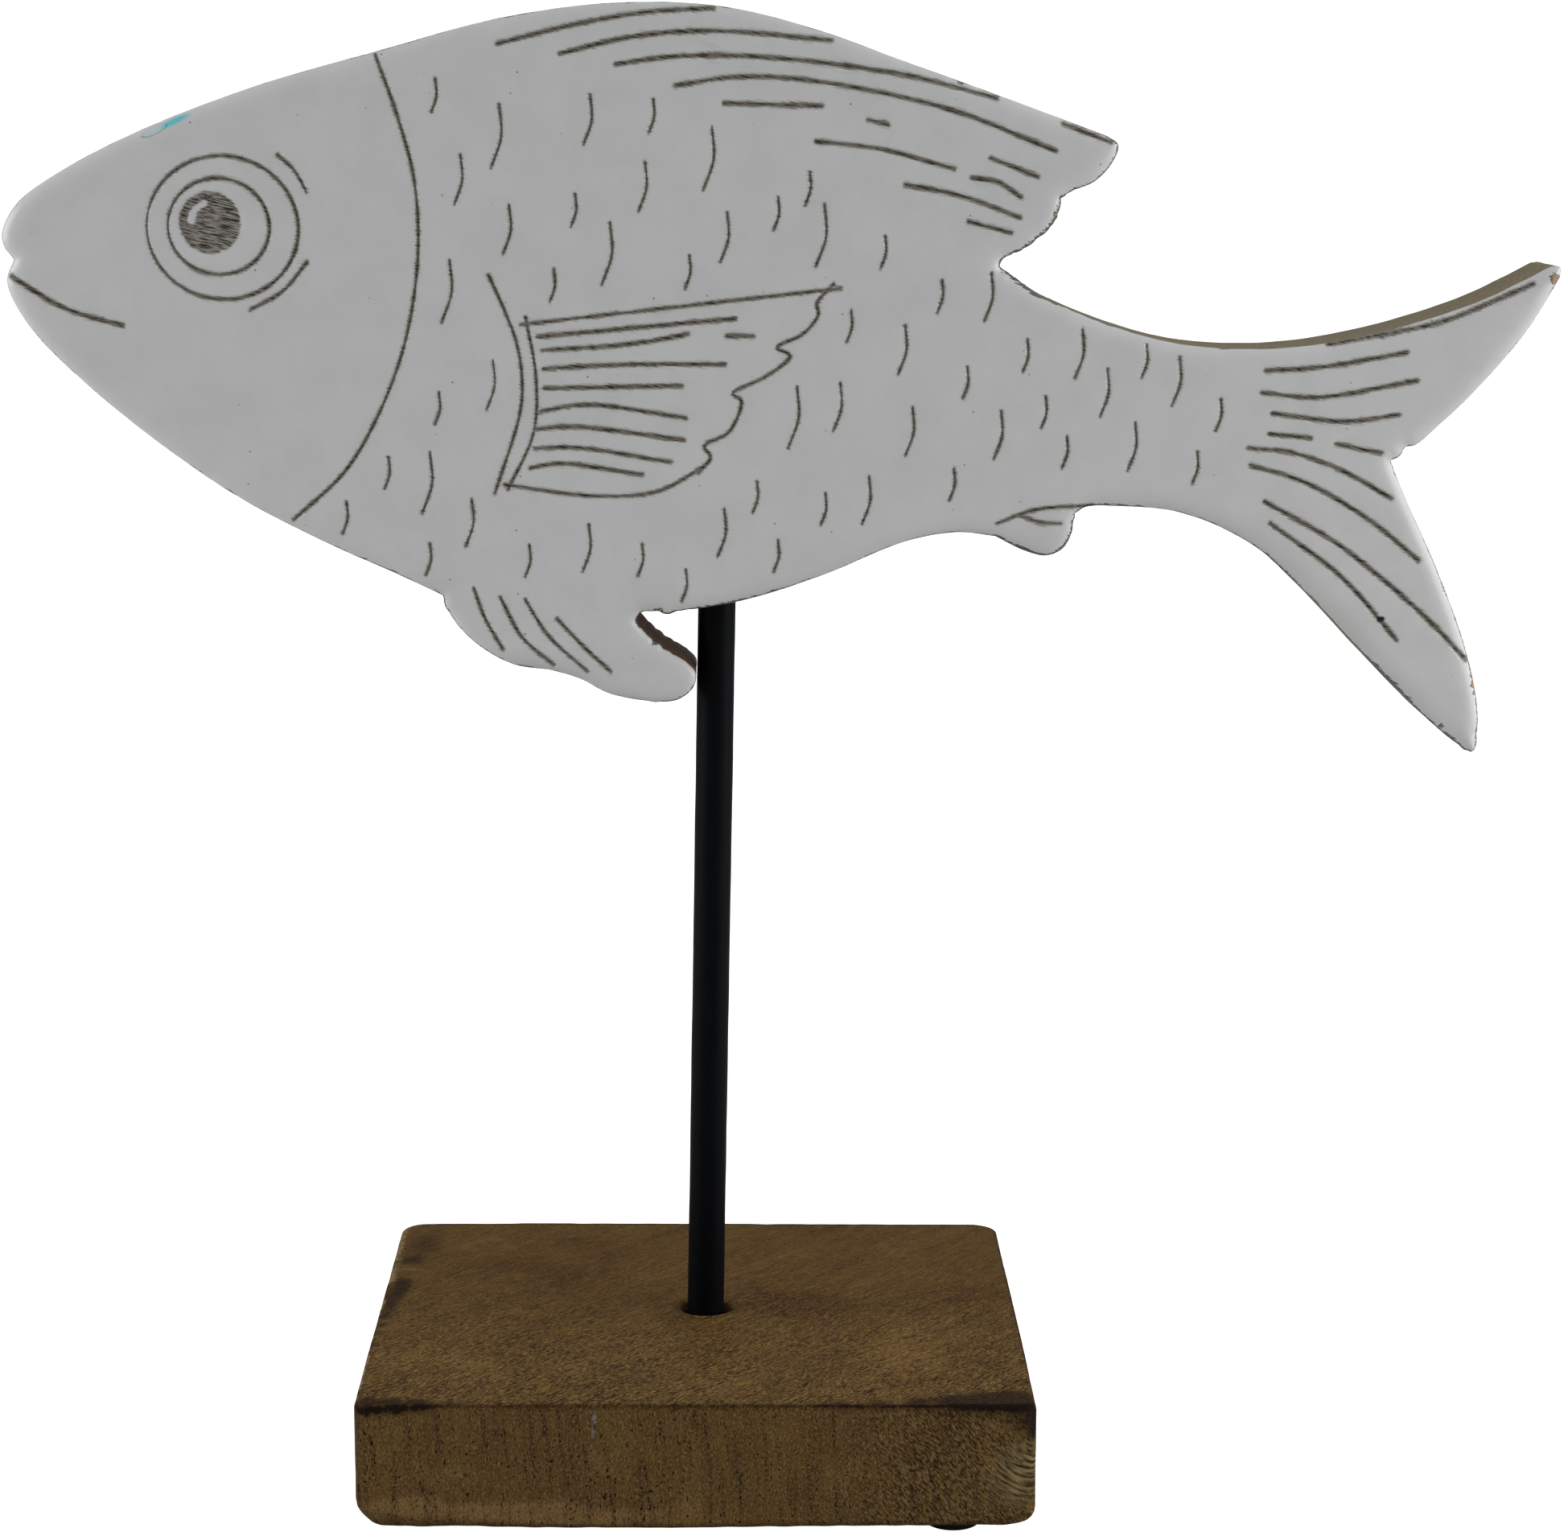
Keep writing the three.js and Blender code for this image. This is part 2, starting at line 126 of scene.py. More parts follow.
def skin(name, points, triangles, **marks):
    """A smooth mesh from points in millimetres, faces outwards: they are turned round if the volume
    that they hold comes out negative. Each mark is a named value at every point."""
    a, b, c = (points[triangles[:, k]] for k in range(3))
    if (np.cross(a, b) * c).sum() < 0:
        triangles = triangles[:, ::-1]
    mesh = bpy.data.meshes.new(name)
    mesh.vertices.add(len(points))
    mesh.vertices.foreach_set("co", (points * MM).astype(np.float32).ravel())
    mesh.loops.add(triangles.size)
    mesh.loops.foreach_set("vertex_index", triangles.astype(np.int32).ravel())
    mesh.polygons.add(len(triangles))
    mesh.polygons.foreach_set("loop_start", np.arange(0, triangles.size, 3, dtype=np.int32))
    mesh.polygons.foreach_set("use_smooth", np.ones(len(triangles), bool))
    for title, values in marks.items():
        mesh.attributes.new(title, "FLOAT", "POINT").data.foreach_set("value", values.astype(np.float32))
    mesh.update(calc_edges=True)
    piece = bpy.data.objects.new(name, mesh)
    bpy.context.scene.collection.objects.link(piece)
    return piece


def turned_skin(name, rows, **marks):
    """Closed rings of points, one row for each step of a profile, as one skin with both ends closed."""
    count, around = rows.shape[:2]
    points = np.concatenate([rows.reshape(-1, 3), rows[:1].mean(axis=1), rows[-1:].mean(axis=1)])
    number = np.arange(count * around).reshape(count, around)
    poles = [np.full(around, count * around), np.full(around, count * around + 1)]
    triangles = np.concatenate([
        ring_triangles(number[:-1], number[1:]),
        np.stack([poles[0], np.roll(number[0], -1), number[0]], -1),
        np.stack([poles[1], number[-1], np.roll(number[-1], -1)], -1),
    ])
    ends = {title: np.concatenate([v.ravel(), [v[0].mean(), v[-1].mean()]]) for title, v in marks.items()}
    return skin(name, points, triangles, **ends)


def bump_of(distance, width):
    """A soft hill: 1 at no distance, and falling away over the given width."""
    return np.exp(-((distance / width) ** 2))


# Where the block is rubbed rounder, as [x, y, reach in x, reach in y, more at the top edge, more at the
# foot], and the radius of the front's lower edge at each x.
ROUNDED = [
    [-65.6, -42, 2, 16, 0.1, 2.8], [39.4, -42, 2.5, 14, 0.9, 1.3], [39.4, 42, 5, 5, 0, 2.4],
    [-65.6, 42, 5, 5, 0, 2.4], [-13, 42, 70, 8, -0.35, 0],
]
FRONT_FOOT = [[-58, 1.9], [-56, 1.5], [-51, 1.8], [-43, 1.3], [-33, 1.0], [-23, 0.8], [-17, 0.7],
              [-3, 1.3], [10, 1.5], [22, 1.8], [32, 1.9]]


def block_rows(around=640):
    """The block as one profile carried round it: up the bore, out over the top, over the arris, down the
    side, round the lower arris and in to the middle of the underside."""
    middle = (block_low + block_high)[:2] / 2
    half = (block_high - block_low)[:2] / 2
    edge, out = round_rectangle(half, FRONT_CORNER, BACK_CORNER, around)
    core = np.clip(edge, INSET_CORE - half, half - INSET_CORE)
    edge, core = edge + middle, core + middle
    low, high = block_low[2], block_high[2]
    low_front = block_low[1]
    at_top = np.concatenate([edge, np.full((around, 1), high)], axis=1)
    at_foot = np.concatenate([edge, np.full((around, 1), low)], axis=1)
    top_arris = BLOCK_ARRIS * (1 + 0.15 * ripple(at_top, 14, 1) + 0.08 * ripple(at_top, 3.5, 2))
    foot_arris = FOOT_ARRIS * (1 + 0.25 * ripple(at_foot, 16, 3))
    on_front = edge[:, 1] < low_front + FRONT_CORNER
    foot_arris = np.where(on_front, np.interp(edge[:, 0], *np.array(FRONT_FOOT).T), foot_arris)
    foot_arris *= 1 + 0.08 * ripple(at_foot, 4, 4)
    for x, y, reach_x, reach_y, more, foot_more in ROUNDED:
        near = bump_of(np.hypot((edge[:, 0] - x) / reach_x, (edge[:, 1] - y) / reach_y), 1)
        top_arris = top_arris + more * near
        foot_arris = foot_arris + foot_more * near
    top_arris = np.clip(top_arris, 0.35, 2.5)
    foot_arris = np.clip(foot_arris, 0.6, 6.0)

    def ring(inset, z):
        """The edge drawn in towards a smaller rectangle: by the inset on the sides, and in scale at corners.
        The right end of the block swells by SIDE_SWELL from its top down to a quarter of its height."""
        up = np.clip((z - low) / (high - low), 0, 1)
        swell = SIDE_SWELL * np.clip((up - 0.25) / 0.7, 0, 1) ** 1.5 * np.clip(out[:, 0], 0, 1)
        share = ((inset + swell) / INSET_CORE)[:, None]
        return np.concatenate([edge + (core - edge) * share, z[:, None]], axis=1)

    def between(first, second, shares):
        """Rings at those shares of the way from one ring to another."""
        return [first + (second - first) * share for share in shares]

    quarter = np.linspace(0, math.pi / 2, ARRIS_ROWS)
    full = np.ones(around)
    top_edge = ring(top_arris, high * full)
    angle = np.arctan2(edge[:, 1] - ROD_FOOT[1], edge[:, 0] - ROD_FOOT[0])
    spoke = np.stack([np.cos(angle), np.sin(angle), 0 * angle], axis=1)
    chipped = 0.12 * np.clip(ripple(spoke, 0.9, 5), 0, 2) + 0.2 * bump_of(angle + 2.2, 0.6)
    bore_levels = np.linspace(BORE_FLOOR, high - MOUTH_DEEP, BORE_ROWS)
    bore = [rod_axis(z * full) + BORE_RADIUS * spoke for z in bore_levels]
    widened = 0.1 + 0.4 * np.cos(angle) ** 2 + 0.05 * np.cos(angle)
    mouth = [
        rod_axis((high - fall) * full) + (BORE_RADIUS + flare * (widened + chipped))[:, None] * spoke
        for fall, flare in BORE_FLARE
    ]
    top = between(mouth[-1], top_edge, np.sin(np.linspace(0, math.pi / 2, TOP_ROWS))[1:-1])
    over = [ring(top_arris * (1 - math.sin(q)), high - top_arris * (1 - math.cos(q))) for q in quarter]
    upper, lower = ring(0 * full, high - top_arris), ring(0 * full, low + foot_arris)
    side = between(upper, lower, np.linspace(0, 1, SIDE_ROWS)[1:-1])
    under = [ring(foot_arris * (1 - math.cos(q)), low + foot_arris * (1 - math.sin(q))) for q in quarter]
    bottom = between(under[-1], np.append(middle, low), np.linspace(0, 1, UNDER_ROWS)[1:-1])
    rows = np.array([*bore, *mouth, *top, *over, *side, *under, *bottom])

    dip = 0.03 + 0.02 * ripple(rows, 30, 6) + 0.01 * ripple(rows, 5, 7)
    on_top = np.clip((rows[..., 2] - high + 0.5) / 0.5, 0, 1)
    on_side = np.zeros(rows.shape[0])
    start = len(bore) + len(mouth) + len(top)
    on_side[start:start + len(over) + len(side) + len(under)] = 1
    slope = TOP_FALL * np.clip((rows[..., 0] + 20) / 59, 0, 1)
    rows[..., 2] -= (np.clip(dip, 0, 0.2) + slope) * on_top
    rows[..., :2] -= out * (np.clip(dip, 0, 0.2) * on_side[:, None])[..., None]
    return rows


# Where the torch has darkened the block, as [x, y, z, reach, strength].
SCORCHED = [
    [-61, 34, 22.35, 4.5, 0.55], [-60.5, 28, 22.35, 4, 0.55], [-62.5, 22.5, 22.35, 3, 0.8],
    [-63, 12.8, 22.35, 2, 0.8], [-62.8, 10, 22.35, 2.3, 0.8], [-63.4, 7, 22.35, 2.1, 0.8],
    [-63.9, 4.2, 22.35, 2, 0.7], [-64.2, 1.4, 22.35, 1.8, 0.8], [-64.2, -1.4, 22.35, 1.7, 0.7],
    [-64.4, -4.2, 22.35, 1.6, 0.8], [-64.7, -8, 22.35, 1.5, 0.8], [-64.8, -12, 22.35, 1.3, 0.7],
    [-64.9, -17, 22.35, 1.3, 0.7], [-63.5, -40.6, 22.35, 2.2, 1.1], [-59.5, -40.6, 22.35, 2, 1.1],
    [-55.5, -40.8, 22.35, 1.8, 1], [-51, -41, 22.35, 1.8, 0.7], [-34, -41, 22.35, 2.5, 0.4],
    [-44, -41.2, 22.35, 2, 0.3], [-60, -42, 2, 3, 0.6], [-46, -42, 1.6, 2.5, 0.6],
    # [-12.8, -0.5] darkens the top in a ring round the rod's foot.
    [-12.8, -0.5, 22.35, 4.2, 0.5], [39, -40.5, 18.5, 3, 0.8], [39, 8, 21.35, 3, 0.3],
    [36.5, -39.2, 22.35, 3.8, 1.4], [31, -39.4, 22.35, 3.2, 1.3], [26, -40, 22.35, 2.6, 1.2],
    [21, -40.4, 22.35, 2.2, 1], [15, -40.8, 22.35, 2, 0.9], [9, -41, 22.35, 1.8, 0.8],
    [38.6, -32, 22.35, 2, 0.6], [38.9, -24, 22.35, 1.6, 0.5], [0, 42, 21.35, 7, 0.3],
]
# Half the width in millimetres of the charred line along the front top edge at each x, and of the dark
# lines down the two front corners at each z.
CHARRED_X = [[-65, 0.75], [-62, 0.7], [-58, 0.5], [-55, 0.35], [-53, 0.1], [-51, -0.25], [-25, -0.25],
             [-16, 0], [-8, -0.2], [2, -0.1], [10, 0.15], [22, 0.25], [28, 0.4], [34, 0.6], [39, 0.95]]
CHARRED_LEFT = [[2, 0.05], [6, 0.25], [10, 0.1], [16, -0.1], [20, 0.3], [22.3, 0.6]]
CHARRED_RIGHT = [[2, -0.1], [14, -0.1], [16, 0.2], [18, 0.7], [22.3, 1.0]]
CHARRED_BEHIND = 0.3
CHAR_WEDGE = -52.0
CHAR_FALL = 0.7
CHAR_IN = 0.3
CHARRED_SIDES = -0.3
# Red-brown and pale places in the stain, as [x, y, z, reach, strength]; below 0 is pale.
RUSSET = [
    [-38, 14, 22.35, 13, 0.5], [-30, 24, 22.35, 12, 0.4], [-48, 26, 22.35, 8, 0.3],
    # [4, 0] is a strong dark patch on the top, just right of the rod's foot.
    [4, 0, 22.35, 9, 1.3], [-5, 8, 22.35, 8, 0.7], [30, 4, 22.35, 10, 0.8],
    [14, 28, 22.35, 9, 0.3], [-40, -12, 22.35, 9, 0.4], [-61.5, -42, 4.5, 4, 0.5],
    [25, -42, 19, 5, 0.9], [20, -42, 12, 5, 0.5], [-22, -42, 5, 4, 0.3],
    [20.5, -22.5, 22.35, 8, -0.8], [28, -12, 22.35, 7, -0.4], [-20, -34, 22.35, 9, -0.4],
    [-6, -34, 22.35, 8, -0.3], [33, -42, 12, 5, -0.4], [-52, -22, 22.35, 9, -0.4],
]
# The paler band over the foot of the front, as [x, z, strength].
PALE_FOOT = [[-65, 5.6, 0.6], [-61, 5.8, 1.3], [-54, 5.6, 1.3], [-51, 5.0, 0.5], [-48, 4.8, 1.3],
             [-33, 4.8, 1.3], [-30, 4.2, 0.6], [-21, 4.2, 0.9], [-17, 4, 0.2], [39, 4, 0]]
FOOT_REACH = 1.7
# The left upper arris has a painted highlight this far from its middle, wider from this far back.
LIT_EDGE_TO = 40
LIT_WIDER_FROM = 12


def soft_spots(points, spots):
    """The sum of soft hills, each given as [x, y, z, reach, strength]."""
    return sum(s[4] * bump_of(np.linalg.norm(points - s[:3], axis=-1), s[3]) for s in np.array(spots))


def block_marks(rows):
    """scorch: how dark the torch left each point. russet: how red the stain is. edge: the distance to the
    nearest upper edge or front corner. char: half the width of the charred line there. The pale mark
    on the left upper edge is a painted highlight, where its rounded arris catches the light."""
    x, y, z = np.moveaxis(rows, -1, 0)
    beyond = np.abs(rows[..., :2] - (block_low + block_high)[:2] / 2) - (block_high - block_low)[:2] / 2
    fall = block_high[2] - CHAR_IN - z
    lower = CHAR_FALL * np.clip((CHAR_WEDGE - x) / (CHAR_WEDGE - block_low[0]), 0, 1)
    from_front = y - block_low[1] - CHAR_IN
    front = np.hypot(from_front, fall - lower)
    behind = np.hypot(y - block_high[1] + CHAR_IN, fall)
    sides = np.hypot(np.abs(beyond[..., 0]) - CHAR_IN, fall)
    left = np.hypot(x - block_low[0] - CHAR_IN, from_front)
    right = np.hypot(x - block_high[0] + CHAR_IN, from_front)
    widths = np.array([
        np.interp(x, *np.array(CHARRED_X, float).T), CHARRED_BEHIND + 0 * x, CHARRED_SIDES + 0 * x,
        np.interp(z, *np.array(CHARRED_LEFT, float).T), np.interp(z, *np.array(CHARRED_RIGHT, float).T),
    ])
    gaps = np.array([front, behind, sides, left, right])
    nearest = (gaps - widths).argmin(axis=0)[None]
    # Painted highlight: a pale band along the left upper arris, where it catches the light, wider towards the
    # back.
    lit_wider = y > LIT_WIDER_FROM
    broken = 0.4 + 0.4 * ripple(rows, 7, 9) + 0.3 * ripple(rows, 2.5, 10) + 0.6 * lit_wider
    from_left = np.hypot(x - block_low[0], 0.6 * fall)
    lit_edge = bump_of(from_left, 0.7 + 0.5 * lit_wider) * np.clip(broken, 0, 1) * (np.abs(y) < LIT_EDGE_TO)
    along, height, strength = np.array(PALE_FOOT).T
    pale = np.interp(x, along, strength) * bump_of(z - np.interp(x, along, height), FOOT_REACH) * (y < 0)
    return {
        "scorch": soft_spots(rows, SCORCHED), "russet": soft_spots(rows, RUSSET) - pale, "lit_edge": lit_edge,
        "edge": np.take_along_axis(gaps, nearest, 0)[0], "char": np.take_along_axis(widths, nearest, 0)[0],
    }


block_points = block_rows()
block = turned_skin("block", block_points, **block_marks(block_points))


def paint(hexadecimal):
    """A colour as it looks on a screen, such as "8a7a5c", as the linear colour a shader takes."""
    channels = np.array([int(hexadecimal[k:k + 2], 16) for k in (0, 2, 4)]) / 255
    return (*np.where(channels < 0.04045, channels / 12.92, ((channels + 0.055) / 1.055) ** 2.4), 1.0)


class Wire:
    """What comes out of one socket of a shader node. Arithmetic on it makes one Math node for each step."""

    def __init__(self, socket):
        self.socket = socket
        self.tree = socket.id_data

    def other(self, key):
        """Another output of the same node."""
        return Wire(self.socket.node.outputs[key])

    def step(self, operation, *numbers):
        """One step of arithmetic on two or three numbers, of which this one may be any."""
        return node(self.tree, "Math", dict(enumerate(numbers)), operation=operation)

    def __add__(self, more):
        return self.step("ADD", self, more)

    def __sub__(self, less):
        return self.step("SUBTRACT", self, less)

    def __rsub__(self, whole):
        return self.step("SUBTRACT", whole, self)

    def __mul__(self, times):
        return self.step("MULTIPLY", self, times)

    def __abs__(self):
        return self.step("ABSOLUTE", self)


def node(tree, kind, inputs=None, give=0, **settings):
    """The wire out of a new shader node, from the output of that name or number. inputs gives its sockets,
    by name or number, a value or the wire that feeds them."""
    made = tree.nodes.new("ShaderNode" + kind)
    for name, value in settings.items():
        setattr(made, name, value)
    for key, value in (inputs or {}).items():
        if isinstance(value, Wire):
            tree.links.new(value.socket, made.inputs[key])
        else:
            made.inputs[key].default_value = value
    return Wire(made.outputs[give])


def rise(value, low, high):
    """0 up to low, 1 from high on, and a smooth slope between. low may be the larger of the two."""
    return node(value.tree, "MapRange", {0: value, 1: low, 2: high}, interpolation_type="SMOOTHSTEP")


def larger(first, second):
    """The larger of two numbers."""
    return first.step("MAXIMUM", first, second)


def mix(share, first, second):
    """From the first colour at share 0 to the second at share 1. One of the three is a wire."""
    tree = next(given.tree for given in (share, first, second) if isinstance(given, Wire))
    return node(tree, "Mix", {0: share, 6: first, 7: second}, give=2, data_type="RGBA")


def tinted(colour, share, tint):
    """A colour with another, such as "8a7a5c", laid over it: not at all at share 0, covered at share 1."""
    return mix(share, colour, paint(tint))


def cloud(place, scale, detail=2.0, rough=0.5, give=0):
    """Soft noise from 0 to 1 at a place in millimetres. scale is in lumps for each millimetre."""
    return node(place.tree, "TexNoise", {0: place, 2: scale, 3: detail, 4: rough}, give)


def vectors(operation, first, second, give=0):
    """One step of arithmetic on vectors. To scale one, second is a number."""
    key = "Scale" if operation == "SCALE" else 1
    return node(first.tree, "VectorMath", {0: first, key: second}, give, operation=operation)


def parts(vector):
    """The X, Y and Z of a vector."""
    x = node(vector.tree, "SeparateXYZ", {0: vector})
    return x, x.other(1), x.other(2)


def millimetres(tree):
    """The piece's own coordinates, in millimetres."""
    return vectors("SCALE", node(tree, "TexCoord", give="Object"), 1 / MM)


def mark(tree, title):
    """The value that the mesh holds under that name."""
    return node(tree, "Attribute", give="Fac", attribute_name=title)


def turned_place(place, middle, turn, reach_of):
    """A place seen from a middle point along three turned axes, 1 at the reach along each."""
    return node(place.tree, "Mapping", {0: place, 1: middle, 2: turn, 3: reach_of}, vector_type="TEXTURE")


def length(vector):
    """How long a vector is."""
    return node(vector.tree, "VectorMath", {0: vector}, give="Value", operation="LENGTH")


def spot(place, middle, turn, reach_of):
    """How far a place is from a middle point: 1 at the reach along each of the three turned axes."""
    return length(turned_place(place, middle, turn, reach_of))


def new_group(title, inputs, outputs):
    """An empty node group with its sockets: its tree, the wires that come in, and the sockets out."""
    tree = bpy.data.node_groups.new(title, "ShaderNodeTree")
    for name, kind in inputs.items():
        tree.interface.new_socket(name, in_out="INPUT", socket_type="NodeSocket" + kind)
    for name, kind in outputs.items():
        tree.interface.new_socket(name, in_out="OUTPUT", socket_type="NodeSocket" + kind)
    given = tree.nodes.new("NodeGroupInput").outputs
    return tree, {name: Wire(given[name]) for name in inputs}, tree.nodes.new("NodeGroupOutput").inputs


def fibre_group():
    """Wood fibre: noise drawn out along one direction. Turn turns the fibres from the X axis, Sway bends
    them, and Size is one fibre's length, and its width and height across that length."""
    inputs = {"Place": "Vector", "Turn": "Vector", "Sway": "Float", "Size": "Vector"}
    tree, given, result = new_group("wood_fibre", inputs, {"Fibre": "Float"})
    drift = vectors("SUBTRACT", cloud(given["Place"], 0.045, 1.0, give=1), (0.5, 0.5, 0.5))
    bent = vectors("ADD", given["Place"], vectors("SCALE", drift, given["Sway"]))
    turned = node(tree, "Mapping", {0: bent, 2: given["Turn"]})
    drawn = vectors("DIVIDE", turned, given["Size"])
    tree.links.new(cloud(drawn, 1.0, 2.0, 0.55).socket, result["Fibre"])
    return tree


wood_fibre = fibre_group()


def fibre(place, turn, sway, *size):
    """The fibre group placed in a material, with its own values."""
    made = place.tree.nodes.new("ShaderNodeGroup")
    made.node_tree = wood_fibre
    place.tree.links.new(place.socket, made.inputs["Place"])
    for name, value in {"Turn": turn, "Sway": sway, "Size": size}.items():
        made.inputs[name].default_value = value
    return Wire(made.outputs["Fibre"])


def new_material(title, **fixed):
    """A material with a Principled BSDF whose plain settings are given."""
    material = bpy.data.materials.new(title)
    material.use_nodes = True
    surface = material.node_tree.nodes["Principled BSDF"]
    for name, value in fixed.items():
        surface.inputs[name.replace("_", " ")].default_value = value
    return material, material.node_tree, surface


def feed(surface, colour, gloss, height, strength, distance):
    """Links colour and roughness to the surface, and a normal that rises by distance metres at height 1."""
    bump = {"Height": height, "Strength": strength, "Distance": distance}
    normal = node(height.tree, "Bump", bump)
    for name, wire in {"Base Color": colour, "Roughness": gloss, "Normal": normal}.items():
        wire.tree.links.new(wire.socket, surface.inputs[name])


# The turns of the fibres: on the whole block, in the slanting dashes and in the bands of the front.
BLOCK_TURN = (0.0, 0.0, math.radians(-47))
SLANT_TURN = (0.0, math.radians(-50), 0.0)
BAND_TURN = (0.0, math.radians(-86), 0.0)
# Each kind of fibre in the block, as its turn, sway, length, width and height.
LAYER = (BLOCK_TURN, 4.0, 90.0, 2.6, 50.0)
DASH = (BLOCK_TURN, 4.0, 3.2, 0.3, 2.6)
FINE = (BLOCK_TURN, 4.0, 0.8, 0.17, 0.42)
PORE = (BLOCK_TURN, 4.0, 2.8, 0.26, 0.6)
SLANT = (SLANT_TURN, 1.5, 0.95, 1.2, 0.24)
BAND = (BAND_TURN, 2.0, 16.0, 2.0, 1.1)
# Single marks, each as its middle, turn and reach.
LEVEL = (0.0, 0.0, 0.0)
THROUGH = 1000.0
SWIRL_MIDDLE = [40.5, -42.0, 19.5]
SWIRL_AREA = ([37.0, -42.0, 11.0], (0.0, 0.5, 0.0), (5.0, 9.0, 6.5))
CHALK_MARK = ([-28.8, -42.0, 19.4], (0.0, 0.06, 0.0), (0.35, 2.0, 2.9))
NICK = ([-62.3, 18.2, 22.35], (0.0, 0.0, -0.12), (3.2, 0.45, 1.5))
BORE_MOUTH = ([float(ROD_FOOT[0]), 0.0, 22.2], LEVEL, (4.15, 4.15, THROUGH))
# Painted shade: the top's colour is multiplied by this, darker and warmer, as the fish above shades it.
TOP_SHADE = (0.83, 0.775, 0.64, 1.0)
WHITE = (1.0, 1.0, 1.0, 1.0)


def block_grain(tree, place, on_top, to_right, nearer):
    """The stained wood: growth layers, red-brown and pale places, blots, and the fibres in front and top."""
    on_front = 1 - on_top
    dash, fine, pore, band = (fibre(place, *kind) for kind in (DASH, FINE, PORE, BAND))
    russet = (cloud(place, 0.06, 3.0, 0.6) - 0.5) * 1.6 + mark(tree, "russet")
    blot = cloud(place, 0.11, 4.0, 0.65)

    colour = mix(rise(fibre(place, *LAYER), 0.3, 0.7), paint("624928"), paint("6c522c"))
    colour = tinted(colour, rise(russet, 0.1, 1.1) * 0.8, "523419")
    colour = tinted(colour, rise(russet, -0.1, -0.8) * 0.8, "8a6c42")
    colour = tinted(colour, rise(blot, 0.54, 0.74) * 0.5, "422d19")
    colour = tinted(colour, rise(blot, 0.46, 0.26) * 0.35, "94774a")

    much = nearer * 0.6 + 0.35
    colour = tinted(colour, rise(dash, 0.54, 0.64) * much * on_top, "2c1c11")
    colour = tinted(colour, rise(dash, 0.45, 0.34) * much * 0.6 * on_top, "977c4b")
    colour = tinted(colour, rise(band, 0.5, 0.68) * 0.35 * on_front, "38261a")
    leaning = to_right * on_front
    much = leaning * 0.1 + 0.45 + nearer * 0.7 - on_top * 0.12
    colour = tinted(colour, rise(fine, 0.5, 0.7) * much, "a58b5c")
    colour = tinted(colour, rise(fine, 0.5, 0.32) * much, "2c1e12")
    slant = fibre(place, *SLANT)
    colour = tinted(colour, rise(slant, 0.51, 0.6) * leaning * 0.8, "28170b")
    colour = tinted(colour, rise(slant, 0.46, 0.36) * leaning * 0.5, "8a7a52")
    cluster = (1 - to_right) * 0.035 + pore + band * 0.3
    open_pore = rise(cluster, 0.815, 0.85) * on_front
    return tinted(colour, open_pore, "170f09"), fine, fine + dash - open_pore * 1.6


def swirl(place, colour):
    """The curl of the grain round a knot at the right end of the front: noise over angle and distance."""
    there = turned_place(place, SWIRL_MIDDLE, LEVEL, (1.0, 1.0, 1.0))
    across, _, up = parts(there)
    angle = up.step("ARCTAN2", up, across)
    wound = node(place.tree, "CombineXYZ", {0: length(there) * 2.1, 2: angle * 3.2})
    curl = mix(rise(cloud(wound, 1.0, 2.0), 0.36, 0.66), paint("2a1d10"), paint("a08c62"))
    return mix(rise(spot(place, *SWIRL_AREA), 1.15, 0.35) * 0.8, colour, curl)


def charred(tree, place, colour, loose, foot):
    """The torch's scorch, painted shade at the foot, the charred line along the edges and its halo."""
    colour = tinted(colour, rise(loose * 0.9 + mark(tree, "scorch"), 0.25, 1.05) * 0.8, "1e1210")
    # Painted shade: the lowest few millimetres of every side, darkened where the edge curves under.
    colour = tinted(colour, foot * 0.6, "3a2013")
    edge = mark(tree, "edge")
    colour = tinted(colour, rise(edge - loose * 0.3, 0.4, 0.12) * 0.5, "35200f")
    drift = cloud(place, 0.45, 4.0, 0.65) - 0.5
    beyond = edge - mark(tree, "char") - loose * 0.9 - drift * 1.8
    colour = tinted(colour, rise(beyond, 1.0, 0.0) * 0.5, "33200f")
    return tinted(colour, rise(beyond, 0.14, -0.12) * 0.9, "150d0b")


